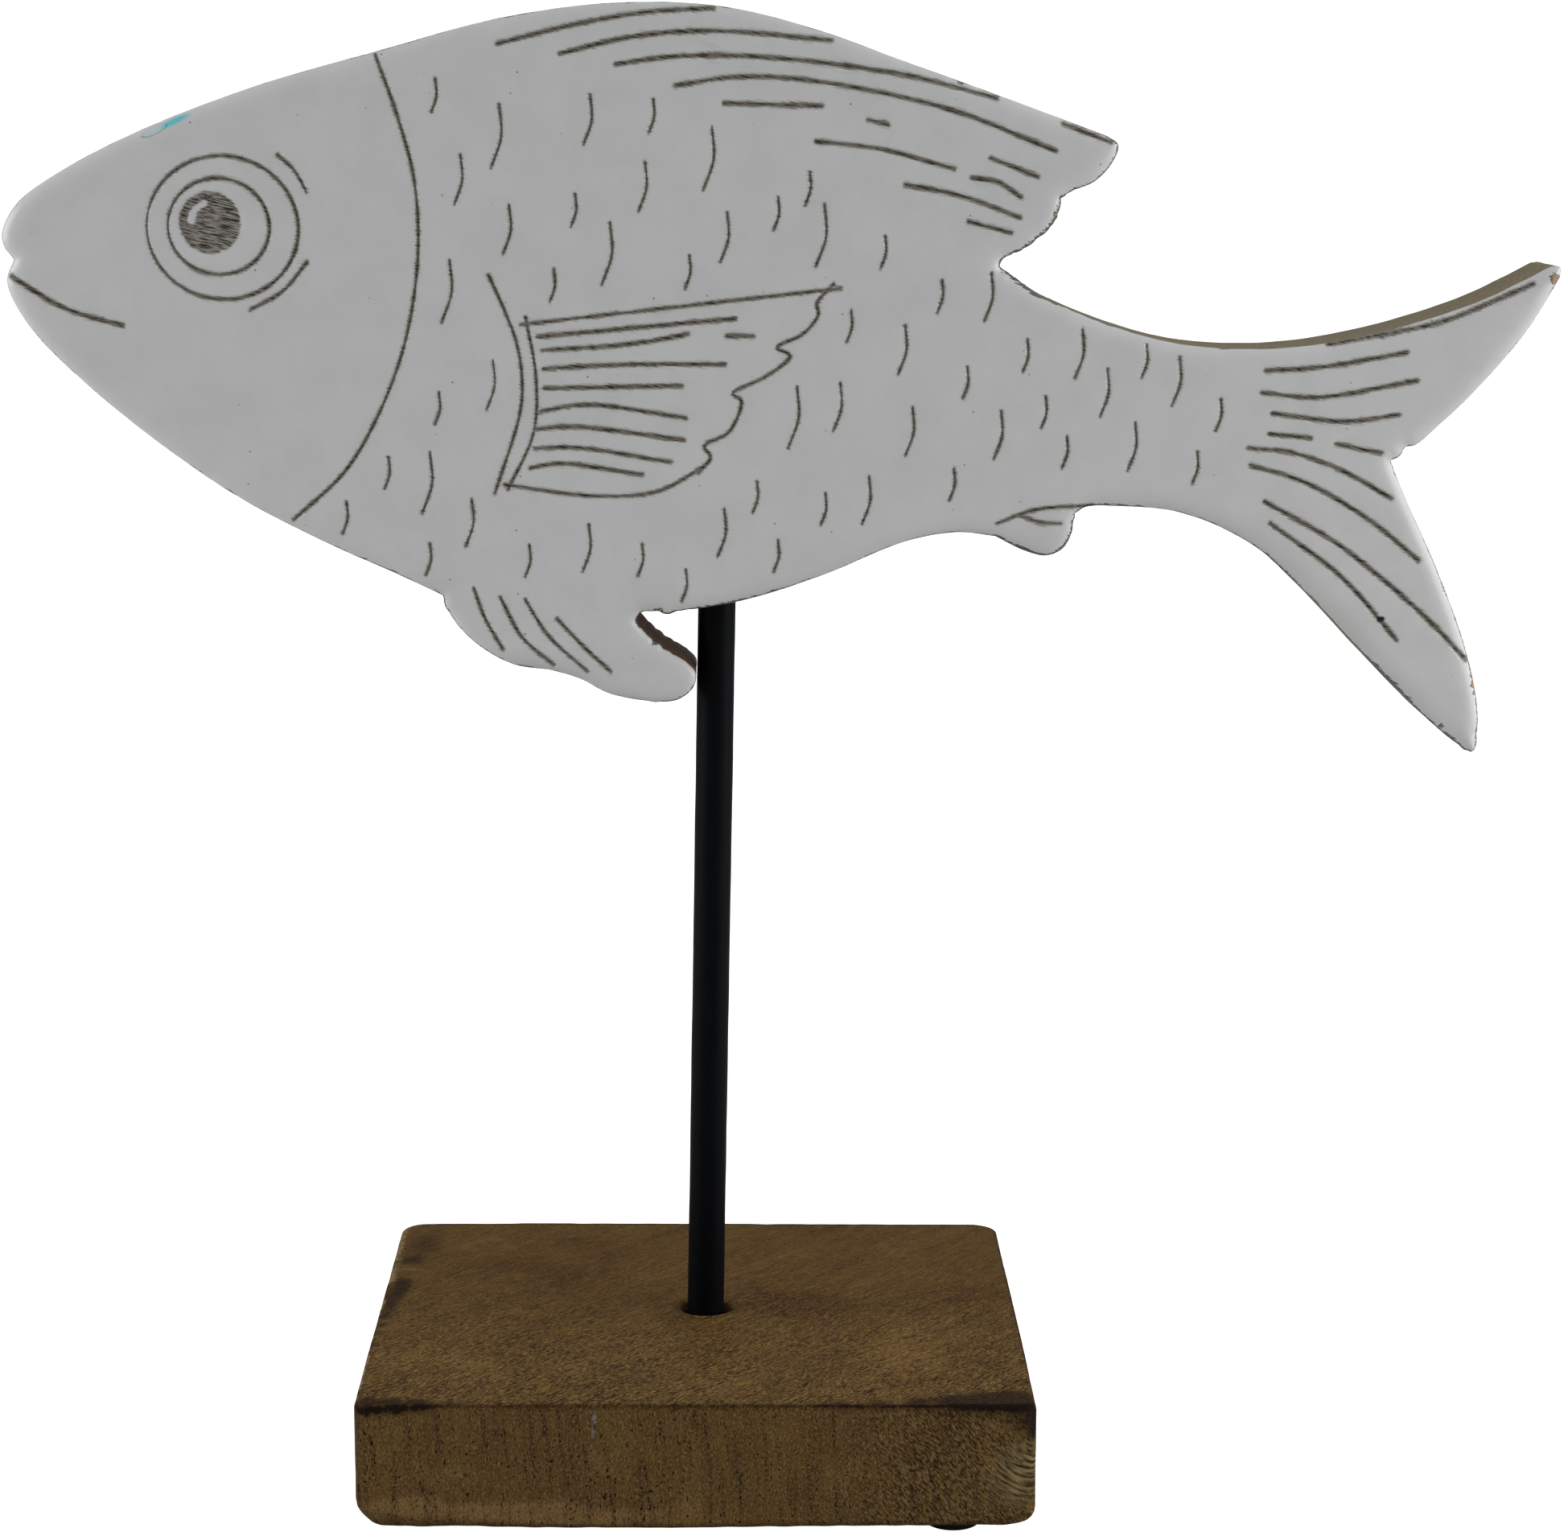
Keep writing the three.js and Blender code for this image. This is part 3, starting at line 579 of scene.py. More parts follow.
def stained_mango():
    """Fibres run across the block at a slant, so its top shows thin dashes and its front the pores' ends,
    which turn into slanting dashes and a curl at the right. Growth layers and red-brown places tint both,
    the top edges have a thin charred line, and the scorched places are nearly black."""
    material, tree, surface = new_material("stained_mango", Specular_IOR_Level=0.07)
    place = millimetres(tree)
    x, y, z = parts(place)
    on_top = rise(z, 21.3, 22.1)
    nearer = rise(y, 32.0, -36.0) * on_top
    speck = cloud(place, 1.6, 3.0, 0.6)
    colour, fine, height = block_grain(tree, place, on_top, rise(x, 0.0, 22.0), nearer)
    colour = swirl(place, colour)
    chalk = rise(spot(place, *CHALK_MARK), 1.2, 0.4) * rise(speck, 0.4, 0.6)
    colour = tinted(colour, chalk * 0.6, "8a959c")
    loose = (fine - 0.5) * 0.8 + (speck - 0.5)
    # The last argument masks the painted shade at the foot: darkest at the bottom, gone about 3 mm up.
    colour = charred(tree, place, colour, loose, rise(speck * 1.6 + z, 4.0, 3.0))
    # Painted highlight: the pale band along the left upper arris, where it catches the light.
    lit_edge = (speck - 0.5) * 1.2 + mark(tree, "lit_edge")
    colour = tinted(colour, rise(lit_edge, 0.2, 0.6) * 0.85, "9a866a")
    nick = rise(spot(place, *NICK), 1.2, 0.5) * rise(speck, 0.35, 0.5)
    colour = tinted(colour, nick * 0.6, "94725c")
    chip = rise(abs(spot(place, *BORE_MOUTH) - 1) - speck * 0.35, -0.13, -0.18) * rise(y, -2.4, -3.4)
    colour = tinted(colour, chip * on_top, "b3907c")
    # Painted shade: the top is made darker and warmer than the front, standing for the fish's shade over it.
    colour = vectors("MULTIPLY", colour, mix(on_top, WHITE, TOP_SHADE))
    feed(surface, colour, fine * 0.25 + 0.55, height, 0.6, 0.0002)
    return material


block.data.materials.append(stained_mango())
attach(block, "root")
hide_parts("base")


# The feet
# Four black rubber pads, each a low dome with its wide side stuck under a corner of the block.
PAD_SIDES = 48
# The dome's rings, each as its share of the pad's radius and of its height.
PAD_PROFILE = [
    [0.5, 0], [0.86, 0], [0.93, 0.04], [0.97, 0.14], [0.99, 0.35], [1, 0.7], [1, 0.95], [0.98, 1], [0.6, 1],
]


def black_rubber():
    """Matte black rubber with a fine, uneven skin."""
    material, tree, surface = new_material("black_rubber", Specular_IOR_Level=0.3)
    place = millimetres(tree)
    uneven = cloud(place, 3.0, 3.0, 0.6)
    colour = mix(cloud(place, 0.4), paint("0e0e0e"), paint("1c1b1a"))
    feed(surface, colour, uneven * 0.2 + 0.65, uneven, 0.3, 0.0001)
    return material


def pad_rows(low, high):
    """A dome on its head: rings that widen from the flat on the table to the stuck side above."""
    middle, wide = (low + high) / 2, (high - low)[0] / 2
    share_out, share_up = np.array(PAD_PROFILE).T[:, :, None, None]
    place = [middle[0], middle[1], 0]
    return place + wide * share_out * spokes(PAD_SIDES) + block_low[2] * share_up * [0, 0, 1]


rubber = black_rubber()
for foot in ("foot_front_left", "foot_front_right", "foot_back_left", "foot_back_right"):
    pad = turned_skin("pad" + foot[4:], pad_rows(*(np.array(corner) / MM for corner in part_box(foot))))
    pad.data.materials.append(rubber)
    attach(pad, "root")
    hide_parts(foot)


# The rod
# A 6 mm iron bar, powder-coated satin black, standing in the block's hole and in a hole drilled up
# into the fish's belly.
rod_low, rod_high = (np.array(corner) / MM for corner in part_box("rod"))
ROD_RADIUS = 3.0
ROD_SIDES = 64
ROD_ROWS = 150


def rod_rows():
    """Rings along the rod's leaning axis with softened ends, and the slight unevenness of the coat."""
    spoke = spokes(ROD_SIDES)
    low, high = rod_low[2] + 0.05, rod_high[2] - 0.05
    straight = np.linspace(low + 1, high - 1, ROD_ROWS)
    level = np.concatenate([[low, low, low + 0.3], straight, [high - 0.3, high, high]])
    radius = np.full(len(level), ROD_RADIUS)
    radius[[0, 1, -2, -1]] = ROD_RADIUS * np.array([0.5, 0.88, 0.88, 0.5])
    rows = rod_axis(level)[:, None] + radius[:, None, None] * spoke
    uneven = 0.02 * np.clip(ripple(rows, 9, 21), -1, 1) - 0.02
    return rows + spoke * uneven[..., None]


def black_coat():
    """Satin black powder coat: a fine pebbled skin with a few dull, dusty specks."""
    material, tree, surface = new_material("black_coat", Specular_IOR_Level=0.065)
    place = millimetres(tree)
    pebble = cloud(place, 2.2, 2.0, 0.5)
    colour = mix(cloud(place, 0.08), paint("040608"), paint("080a0e"))
    colour = tinted(colour, rise(cloud(place, 1.1, 4.0, 0.7), 0.68, 0.78) * 0.25, "4a4a4a")
    feed(surface, colour, pebble * 0.15 + 0.38, pebble, 0.25, 0.0001)
    return material


rod = turned_skin("rod_bar", rod_rows())
rod.data.materials.append(black_coat())
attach(rod, "root")
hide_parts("rod")


# The fish
# A board of pale wood sawn to a fish. White enamel covers both faces and rolls over their edges, and
# stops at the raw sawn side. The drawing is burnt through it, so the board's grain shows in each line.
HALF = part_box("fish")[1][1] / MM
ARRIS_IN = 3.2
ARRIS_DEEP = 1.5
GROOVE_DEEP = 0.3
RAY_WIDE = 0.88
EDGE_WIDE = 0.74
RING_WIDE = 0.76
GILL_WIDE = 0.74
SCALE_WIDE = 0.6
SAW_STEP = 0.6
HOLE_RADIUS = 3.3
HOLE_TOP = rod_high[2] + 0.3

# The outline, clockwise from the corner of the mouth, as [x, z]: smooth runs that meet at corners.
OUTLINE = {
    "back": [
        [-117.8, 193.5], [-119.2, 195.3], [-119.5, 197.6], [-117, 202], [-111, 206.4], [-99, 212.6],
        [-81, 219.5], [-62, 225], [-43, 230.1], [-26, 232.4], [-10, 232], [4, 228.8],
        [18, 224], [32.5, 219], [49, 213.1],
    ],
    "dorsal_tip": [[49.0, 213.1], [50.7, 211.8], [49.8, 209.0], [47.2, 206.2], [43.5, 204.6], [42.2, 203.6]],
    "dorsal_rear": [[42.2, 203.6], [41.7, 200.9], [39.5, 198.1], [36.5, 195.9], [33.6, 194.5], [32.9, 193.4]],
    "tail_top": [
        [32.9, 193.4], [35.3, 191.7], [39.7, 188.8], [51, 184.2], [62, 181.5], [77, 181.1],
        [91.5, 183.5], [106, 188], [113.5, 191.5], [117.8, 193.8],
    ],
    "tail_tip": [[117.8, 193.8], [119.3, 193.8], [119.4, 192.2]],
    "upper_lobe": [
        [119.4, 192.2], [115, 184.4], [107.5, 175.1], [101, 168.6], [98.2, 166.2], [96.7, 165.8],
    ],
    "fork": [[96.7, 165.8], [95.6, 164.3], [94.4, 163.7]],
    "lower_lobe": [
        [94.4, 163.7], [96, 160], [103, 145.4], [107.4, 134.4], [109.8, 125], [110, 118.8],
    ],
    "lobe_tip": [[110.0, 118.8], [109.4, 117.6], [108.0, 117.9]],
    "under_tail": [
        [108, 117.9], [102.5, 122.3], [92.5, 132.2], [82.5, 142.5], [73, 150.6], [62, 155.4],
        [52, 156.4], [46.8, 156.2], [45.5, 155.2],
    ],
    "anal_fin": [[45.5, 155.2], [44.9, 152.0], [43.6, 149.7], [41.0, 148.6], [37.5, 149.4], [33.0, 151.6]],
    "belly": [[33.0, 151.6], [27.0, 152.2], [19.0, 150.7], [6.0, 145.3], [-6.0, 141.4], [-16.6, 139.5]],
    "notch": [
        [-16.6, 139.5], [-18.2, 139.1], [-19.7, 139.5], [-22, 139.4], [-23, 138.2], [-22.2, 137],
        [-19, 134.1], [-15.2, 131.7],
    ],
    "pelvic_tip": [[-15.2, 131.7], [-13.6, 129.9], [-14.0, 127.5], [-16.5, 125.5], [-20.0, 125.1]],
    "pelvic_fin": [
        [-20, 125.1], [-27, 126.4], [-31.8, 128.8], [-36, 130.1], [-42, 131], [-47, 133.6],
        [-50.5, 136.8], [-52.8, 140.2],
    ],
    "fin_root": [[-52.8, 140.2], [-53.2, 142.0]],
    "throat": [
        [-53.2, 142], [-60, 145.2], [-71, 150.1], [-84, 156.9], [-97, 165.9], [-108, 175.1],
        [-115, 182.3], [-118.3, 187.6], [-119, 190.4], [-117.8, 193.5],
    ],
}

# The drawing, as the engraver's strokes.
MOUTH = [[-118.0, 191.0], [-110.2, 186.3], [-101.2, 183.6]]
GILL = [
    [-62.1, 224.4], [-59.3, 216.6], [-56.7, 207], [-56, 198.3], [-56.6, 189.7], [-58.7, 179.9],
    [-62.7, 169.9], [-67.8, 161.5], [-76, 153.8],
]
EYE_RINGS = [[-85.7, 198.5, 11.5, 10.8], [-86.3, 198.7, 7.7, 7.25]]
PUPIL = [-87.6, 199.3, 4.7]
GLINT = [[-88.3, 202.2], [-89.4, 201.5], [-90.1, 200.6], [-90.4, 199.5]]
GLINT_WIDE = [0.95, 1.1]
BROWS = [
    [[-77.1, 209.5], [-74.6, 207.1], [-72.8, 203.9]],
    [[-73, 193.4], [-76.8, 189], [-81.9, 186.1]],
]
DORSAL_RAYS = [
    [[-43.7, 226.2], [-31.6, 229.2], [-21.8, 230.9], [-11, 231.7]],
    [[-34.3, 224.8], [-23.1, 227.4], [-11, 228.3], [6.8, 227]],
    [[-25.8, 223.3], [-16.7, 224.5], [-3.9, 224.5], [17.1, 222.1], [32, 218.6]],
    [[-16.8, 220.2], [-7.7, 221.5], [3.1, 221.1], [24.1, 217.1], [41.1, 210.8]],
    [[-9.5, 217.6], [5.4, 217.3]],
    [[12.3, 215.3], [15.5, 214.6]],
    [[4.5, 212], [14.4, 210.9], [25.7, 208]],
    [[18.2, 205.6], [26.6, 204], [35.9, 200.7]],
    [[31.1, 209.7], [38.4, 206.9]],
    [[28.3, 206.7], [32.3, 206.1], [35.9, 203.8]],
    [[27.9, 200.1], [34.6, 198.4]],
    [[42, 214.9], [49.5, 212.1]],
]
TAIL_RAYS = [
    [[83.8, 181.7], [92.9, 183.4], [101.8, 185.5], [115.2, 191.2]],
    [[74.2, 177.7], [83, 178.3], [96, 180.6]],
    [[73.7, 174.3], [82.3, 173.6], [97.8, 176.3]],
    [[75.4, 171.1], [86.6, 169.9], [95.2, 171]],
    [[75.1, 167.9], [81.7, 167.3]],
    [[85.6, 166.4], [92.7, 165]],
    [[71.9, 165.7], [78.8, 165], [86.7, 162.2], [94.6, 157.9]],
    [[72.4, 163], [80.7, 160.5], [91.3, 154.5], [99.2, 148.2]],
    [[74.7, 157.4], [86.2, 150.9], [100.2, 139.7], [107.5, 132.4]],
    [[75.7, 154], [87.3, 145.5], [96.3, 135.6]],
]
PECTORAL_EDGES = [
    [[-45.4, 191.6], [-43.1, 186.5], [-41.2, 181.3], [-40.4, 175.7], [-40.8, 170.5], [-44.8, 158]],
    [[-39.8, 185.2], [-38.3, 176.5], [-38.7, 167.6], [-42.8, 158.6]],
    [[-40.6, 184.1], [8.6, 189.9]],
    [
        [7.4, 190.6], [4.8, 187.5], [5.1, 186], [2.7, 182.9], [-1.3, 180.8], [0.8, 179.6], [-2.9, 176.4],
        [-8.1, 173.7], [-6.7, 172.7], [-8.6, 167.8], [-12.4, 165.6], [-11.4, 163.9], [-13.4, 161.4],
    ],
    [[-43.2, 159.5], [-29.1, 157.8], [-19.5, 158.6], [-12.2, 162.6]],
]
PECTORAL_RAYS = [
    [[-37.9, 182.3], [-7.5, 185.2]],
    [[-37.3, 180.2], [-24.2, 181.2], [-14.8, 182.8]],
    [[-8.9, 182.6], [-4.8, 182.5]],
    [[-37.1, 177.4], [-24.2, 178.1], [-9.1, 178.2]],
    [[-37, 174.4], [-15.7, 174.9]],
    [[-37.5, 170.9], [-30.4, 171.9], [-15.1, 169.9]],
    [[-38.5, 168.1], [-32.3, 168.5], [-15.4, 166.5]],
    [[-38.5, 165.1], [-32.4, 165.3], [-17.4, 163.1]],
    [[-39.2, 162.1], [-34.8, 162.8], [-21.9, 161.1]],
]
LOWER_RAYS = [
    [[-48.2, 143.3], [-46.5, 138.6], [-43.7, 133.6]],
    [[-44.1, 141.9], [-40.8, 135.7], [-35.8, 131.2]],
    [[-40.2, 141.5], [-36.5, 135.7], [-30.5, 130.2]],
    [[-35.3, 138.6], [-31.2, 134.2], [-26.8, 130.1]],
    [[33.1, 153.8], [39.1, 156], [48, 156.6]],
    [[36.7, 155], [39.9, 154], [43.2, 153.8]],
]

# The scale marks: one small arc in three lengths, at these middle points.
SCALE_MARKS = {
    5.0: [
        [-53.2, 218.4], [-20.3, 215.6], [-32.2, 201.4], [-1.3, 201.1], [3.5, 204.9], [-35.5, 190],
        [-14.8, 192.2], [15.1, 195.4], [23.9, 188.7], [10, 184.1], [28, 175.5], [37.2, 179.7],
        [55.6, 179], [-53.3, 171.2], [40.2, 171], [67.3, 170.8], [43.6, 164.9], [63.9, 162.6],
        [26.2, 159.8], [6.3, 155.9], [-4.3, 157.7], [-61.2, 161.2], [-67.8, 154.2], [-1, 148.5],
        [-22.1, 147.8], [-39.6, 147.6], [-55, 147.8], [-15.3, 143.8],
    ],
    7.5: [
        [-29.9, 215], [-49.6, 205.9], [-42.3, 198.4], [-21.6, 205], [-9.1, 197.5], [31.4, 188.6],
        [18.3, 180.5], [45.6, 180.1], [49.6, 174.1], [60.7, 175.9], [-45, 174.8], [8.4, 171.7],
        [19.6, 168], [33.3, 167.5], [54.1, 165.8], [13, 157.3], [-9.4, 152.1], [-30.4, 149.6],
        [-48.5, 153.5],
    ],
    9.5: [
        [-43.7, 212.5], [-11.5, 209.3], [-27, 194.9], [5.7, 197.8], [-51.5, 189.1], [1.7, 170.1],
        [-54.9, 159.7],
    ],
}
# How many points a curve gets between two of its given ones, before it is cut into even steps.
CURVE_STEPS = 60


def smooth_line(points, step):
    """A centripetal Catmull-Rom curve through the points, cut into equal steps no longer than step."""
    p = np.asarray(points, float)
    p = np.concatenate([[2 * p[0] - p[1]], p, [2 * p[-1] - p[-2]]])
    pull = np.linalg.norm(np.diff(p, axis=0), axis=1)[:, None] ** 0.5
    d0, d1, d2 = pull[:-2], pull[1:-1], pull[2:]
    p0, p1, p2, p3 = p[:-3], p[1:-2], p[2:-1], p[3:]
    start = ((p1 - p0) / d0 - (p2 - p0) / (d0 + d1) + (p2 - p1) / d1) * d1
    end = ((p2 - p1) / d1 - (p3 - p1) / (d1 + d2) + (p3 - p2) / d2) * d1
    t = np.linspace(0, 1, CURVE_STEPS, endpoint=False)[None, :, None]
    p1, p2, start, end = (v[:, None] for v in (p1, p2, start, end))
    curve = p1 + start * t + (3 * (p2 - p1) - 2 * start - end) * t**2 + (2 * (p1 - p2) + start + end) * t**3
    curve = np.concatenate([curve.reshape(-1, 2), p[-2:-1]])
    run = np.concatenate([[0], np.cumsum(np.linalg.norm(np.diff(curve, axis=0), axis=1))])
    wanted = np.linspace(0, run[-1], max(2, math.ceil(run[-1] / step) + 1))
    return np.stack([np.interp(wanted, run, curve[:, k]) for k in range(2)], axis=1)


def sides_of(line, closed=False):
    """Unit directions to the left of a line at each of its points."""
    along = np.roll(line, -1, 0) - np.roll(line, 1, 0) if closed else np.gradient(line, axis=0)
    along /= np.linalg.norm(along, axis=1, keepdims=True)
    return np.stack([-along[:, 1], along[:, 0]], axis=1)


def reach(points, marks):
    """The distance from each point to the nearest mark, and which mark that is, in blocks of points that
    fit the cache."""
    near, which = [], []
    mark_x, mark_z = marks.astype(np.float32).T
    for block_of in np.array_split(points.astype(np.float32), len(points) // 48 + 1):
        gap = (block_of[:, :1] - mark_x) ** 2 + (block_of[:, 1:] - mark_z) ** 2
        best = gap.argmin(axis=1)
        near.append(np.sqrt(gap[np.arange(len(best)), best]))
        which.append(best)
    return np.concatenate(near).astype(float), np.concatenate(which)


def inside(points, loop):
    """Whether each point is in the loop: a ray from it towards +X crosses the loop an odd number of times."""
    a, b = loop, np.roll(loop, -1, 0)
    fall = np.where(b[:, 1] == a[:, 1], 1e-9, b[:, 1] - a[:, 1])
    crosses = (a[:, 1] > points[:, 1:]) != (b[:, 1] > points[:, 1:])
    at = a[:, 0] + (points[:, 1:] - a[:, 1]) * (b[:, 0] - a[:, 0]) / fall
    return (crosses & (points[:, :1] < at)).sum(axis=1) % 2 == 1


# Where the saw or a knock has left the edge ragged, as [x, z, reach].
RAGGED = np.array([
    [41.3, 202, 3], [39, 198, 3.5], [34, 195, 3], [34, 192, 3], [38, 189.5, 3.5],
    [-17.5, 139.6, 3], [-22, 138, 2.5], [-20, 134.5, 3.5], [45, 154, 2.5], [95.5, 164.5, 2.5],
    [109.5, 119, 3], [-53, 141, 2], [-118, 192.5, 1.5],
])


def ragged_at(places):
    """How ragged the edge is at each place in x and z, from 0 to 1."""
    soft = [bump_of(np.linalg.norm(places - r[:2], axis=-1), r[2]) for r in RAGGED]
    return np.clip(sum(soft), 0, 1)


def fish_outline():
    """The outline counter-clockwise at even steps, with the small waver of a hand-held saw."""
    runs = [smooth_line(run, SAW_STEP)[:-1] for run in OUTLINE.values()]
    loop = np.concatenate(runs)[::-1]
    waver = 0.012 * ripple(loop, 5, 31) + (0.006 + 0.13 * ragged_at(loop)) * ripple(loop, 1.4, 32)
    return loop + sides_of(loop, closed=True) * (0.03 + np.clip(waver, -0.03, 0.4))[:, None]


outline = fish_outline()
OUTLINE_SAMPLES = np.concatenate([
    outline + (np.roll(outline, -1, 0) - outline) * share for share in (0, 0.25, 0.5, 0.75)
])


def oval(x, z, wide, high, step=0.5):
    """A closed oval line, its last point on its first."""
    turn = np.linspace(0, 2 * math.pi, math.ceil(2 * math.pi * wide / step) + 1)
    return np.stack([x + wide * np.cos(turn), z + high * np.sin(turn)], axis=1)


def scale_mark(place, length):
    """A shallow arc round its middle point, its foot a little nearer the nose."""
    x, z = place
    lean, bulge = 0.07 * length, 0.05 * length
    return [[x + lean - bulge, z + length / 2], [x + bulge, z], [x - lean - bulge, z - length / 2]]


def strokes_of(front):
    """The lines of one face with their widths. The back has every second ray, one eye ring, no scales."""
    every = 1 if front else 2
    groups = [
        ([MOUTH], RAY_WIDE), (DORSAL_RAYS[::every], RAY_WIDE), (TAIL_RAYS[::every], RAY_WIDE),
        (PECTORAL_RAYS[::every], RAY_WIDE), (LOWER_RAYS[::every], EDGE_WIDE), (PECTORAL_EDGES, EDGE_WIDE),
        ([GILL], GILL_WIDE),
    ]
    if front:
        marks = [scale_mark(place, size) for size, places in SCALE_MARKS.items() for place in places]
        groups += [(BROWS, EDGE_WIDE), (marks, SCALE_WIDE)]
    rings = [(oval(*ring), RING_WIDE) for ring in (EYE_RINGS if front else EYE_RINGS[:1])]
    return [(smooth_line(line, 0.5), wide) for lines, wide in groups for line in lines] + rings


def thinned(points, gap):
    """The points with close neighbours left out: one is kept in each square of that size."""
    _, kept = np.unique(np.floor(points / gap).astype(int), axis=0, return_index=True)
    return points[np.sort(kept)]


def lattice(spacing, low, high):
    """Points of equal triangles that fill a box."""
    rows = np.arange(low[1], high[1], spacing * math.sqrt(0.75))
    columns = np.arange(low[0], high[0], spacing)
    shift = (np.arange(len(rows)) % 2 * spacing / 2)[:, None]
    return np.stack([(columns + shift).ravel(), np.repeat(rows, len(columns))], axis=1)


# Where the engraver pressed less, as [x, z, reach, share of the width that is missing].
FAINT = np.array([
    [-97.3, 199.5, 6, 0.4], [-56.2, 203, 8, 0.12], [-94, 197, 2.5, 0.15], [-60.5, 175, 6, 0.1],
    [-41, 178, 6, 0.15], [12, 215.4, 3, 0.2], [-40.5, 166, 5, 0.15],
])


def groove_field(places, front):
    """Distance in millimetres from each place to the edge of the nearest stroke, less than 0 inside it."""
    lines, wide = zip(*strokes_of(front))
    middle = [line[:-1] + np.diff(line, axis=0) * share for line in lines for share in (0, 0.33, 0.66)]
    widths = [np.full(len(line) - 1, w / 2) for line, w in zip(lines, wide) for share in range(3)]
    middle = np.concatenate(middle)
    waver = 1 + 0.09 * ripple(middle, 6, 33) + 0.05 * ripple(middle, 2.2, 34)
    waver -= sum(f[3] * bump_of(np.linalg.norm(middle - f[:2], axis=1), f[2]) for f in FAINT)
    distance, which = reach(places, middle)
    field = distance - (np.concatenate(widths) * waver)[which]
    glint, along = reach(places, smooth_line(GLINT, 0.1))
    glint = glint - np.interp(along, [0, along.max()], GLINT_WIDE) / 2
    pupil = np.maximum(np.linalg.norm(places - PUPIL[:2], axis=1) - PUPIL[2], -glint)
    return np.minimum(field, pupil)


def ends_of(line):
    """The two ends of a line, each with the way out of it and the way across it."""
    for end, before in ((line[0], line[1]), (line[-1], line[-2])):
        along = (end - before) / np.linalg.norm(end - before)
        yield end, along, np.array([-along[1], along[0]])


# How far in from the edge the rings of points run, the rails beside the glint's middle line, the spacing of
# the three lattices, and how close points may stand to each other, to a stroke and to the edge.
EDGE_RINGS = (0.12, 0.3, 0.55, 0.9, 1.35, 1.9, 2.6, 3.3)
GLINT_RAILS = (-0.9, -0.65, -0.4, -0.2, 0, 0.2, 0.4, 0.65, 0.9)
PUPIL_GRID = 0.5
FRONT_GRID = 1.25
BACK_GRID = 1.7
CLOSEST = 0.17
CLEAR_OF_LINES = 0.75
CLEAR_OF_EDGE = 0.09


def face_places(front):
    """Where one face gets its points: rings along the edge, rails along each stroke, and a lattice."""
    inwards = sides_of(outline, closed=True)
    rings = np.concatenate([outline + inwards * inset for inset in EDGE_RINGS])
    rails = np.concatenate([
        line + sides_of(line) * side * (wide / 2 * share + beyond) for line, wide in strokes_of(front)
        for side in (-1, 1) for share, beyond in ((0, 0), (0.5, 0), (1, 0), (1, 0.35))
    ])
    x, z, radius = PUPIL
    round_end = np.radians([-70, -25, 25, 70])
    caps = np.concatenate([
        end + (wide / 2 + beyond) * (np.cos(round_end)[:, None] * along + np.sin(round_end)[:, None] * across)
        for line, wide in strokes_of(front) for beyond in (0.02, 0.35) for end, along, across in ends_of(line)
    ])
    eye = np.concatenate([oval(x, z, radius + grow, radius + grow, 0.4) for grow in (-0.4, -0.1, 0.2, 0.6)])
    glint = smooth_line(GLINT, 0.3)
    glint = np.concatenate([glint + sides_of(glint) * offset for offset in GLINT_RAILS])
    dense = lattice(PUPIL_GRID, outline.min(0), outline.max(0))
    dense = dense[np.linalg.norm(dense - [x, z], axis=1) < radius - PUPIL_GRID]
    fine = thinned(np.concatenate([rails, caps, eye, glint, dense]), CLOSEST)
    wide = lattice(FRONT_GRID if front else BACK_GRID, outline.min(0), outline.max(0))
    wide = wide[inside(wide, outline)]
    wide = wide[reach(wide, fine)[0] > CLEAR_OF_LINES]
    places = np.concatenate([rings, fine, wide])
    places = places[inside(places, outline)]
    return places[reach(places, OUTLINE_SAMPLES)[0] > CLEAR_OF_EDGE]


def fish_face(front):
    """One face: its points in space, its triangles, its marks, and the numbers of its outline points.
    The face falls away in a quarter of an ellipse at the edge, and each stroke is a shallow groove."""
    count = len(outline)
    flat = np.concatenate([outline, face_places(front)])
    made = delaunay_2d_cdt([Vector(p) for p in flat], [], [list(range(count))], 1, 1e-4)
    places = np.array([tuple(p) for p in made[0]])
    triangles = np.array([f for f in made[2] if len(f) == 3])
    number = np.full(len(flat), -1)
    for new, origins in enumerate(made[3]):
        number[origins] = new
    rim = reach(places, OUTLINE_SAMPLES)[0]
    rim[number[:count]] = 0
    line = groove_field(places, front)
    left = np.clip(1 - rim / ARRIS_IN, 0, 1)
    deep = ARRIS_DEEP * (1 - np.sqrt(1 - left**2)) + GROOVE_DEEP * np.clip(-line / 0.3, 0, 1) ** 0.7
    deep += 0.03 + 0.03 * np.clip(ripple(places, 24, 35), -1, 1) * np.clip(rim / 3, 0, 1)
    deep[number[:count]] = ARRIS_DEEP
    y = deep - HALF if front else HALF - deep
    points = np.stack([places[:, 0], y, places[:, 1]], axis=1)
    return points, triangles, rim, line, number[:count]


# The sawn side's rows of points. The hole's sides, the height where the rod enters the belly, the heights
# between which the outline belongs to the belly there, how far past the hole the side is opened along and
# across it for the patch round the hole, and the shares of the hole's depth that get a ring.
WALL_ROWS = 13
HOLE_SIDES = 40
BELLY_HEIGHT = np.array(140.0)
BELLY_SPAN = (136, 146)
HOLE_MARGIN = (0.9, 1.3)
TUBE_SHARES = (0, 0.1, 0.5, 1)


def outline_normal(places):
    """The outward direction of the outline where it is nearest to each place."""
    return -sides_of(outline, closed=True)[reach(places, outline)[1]]


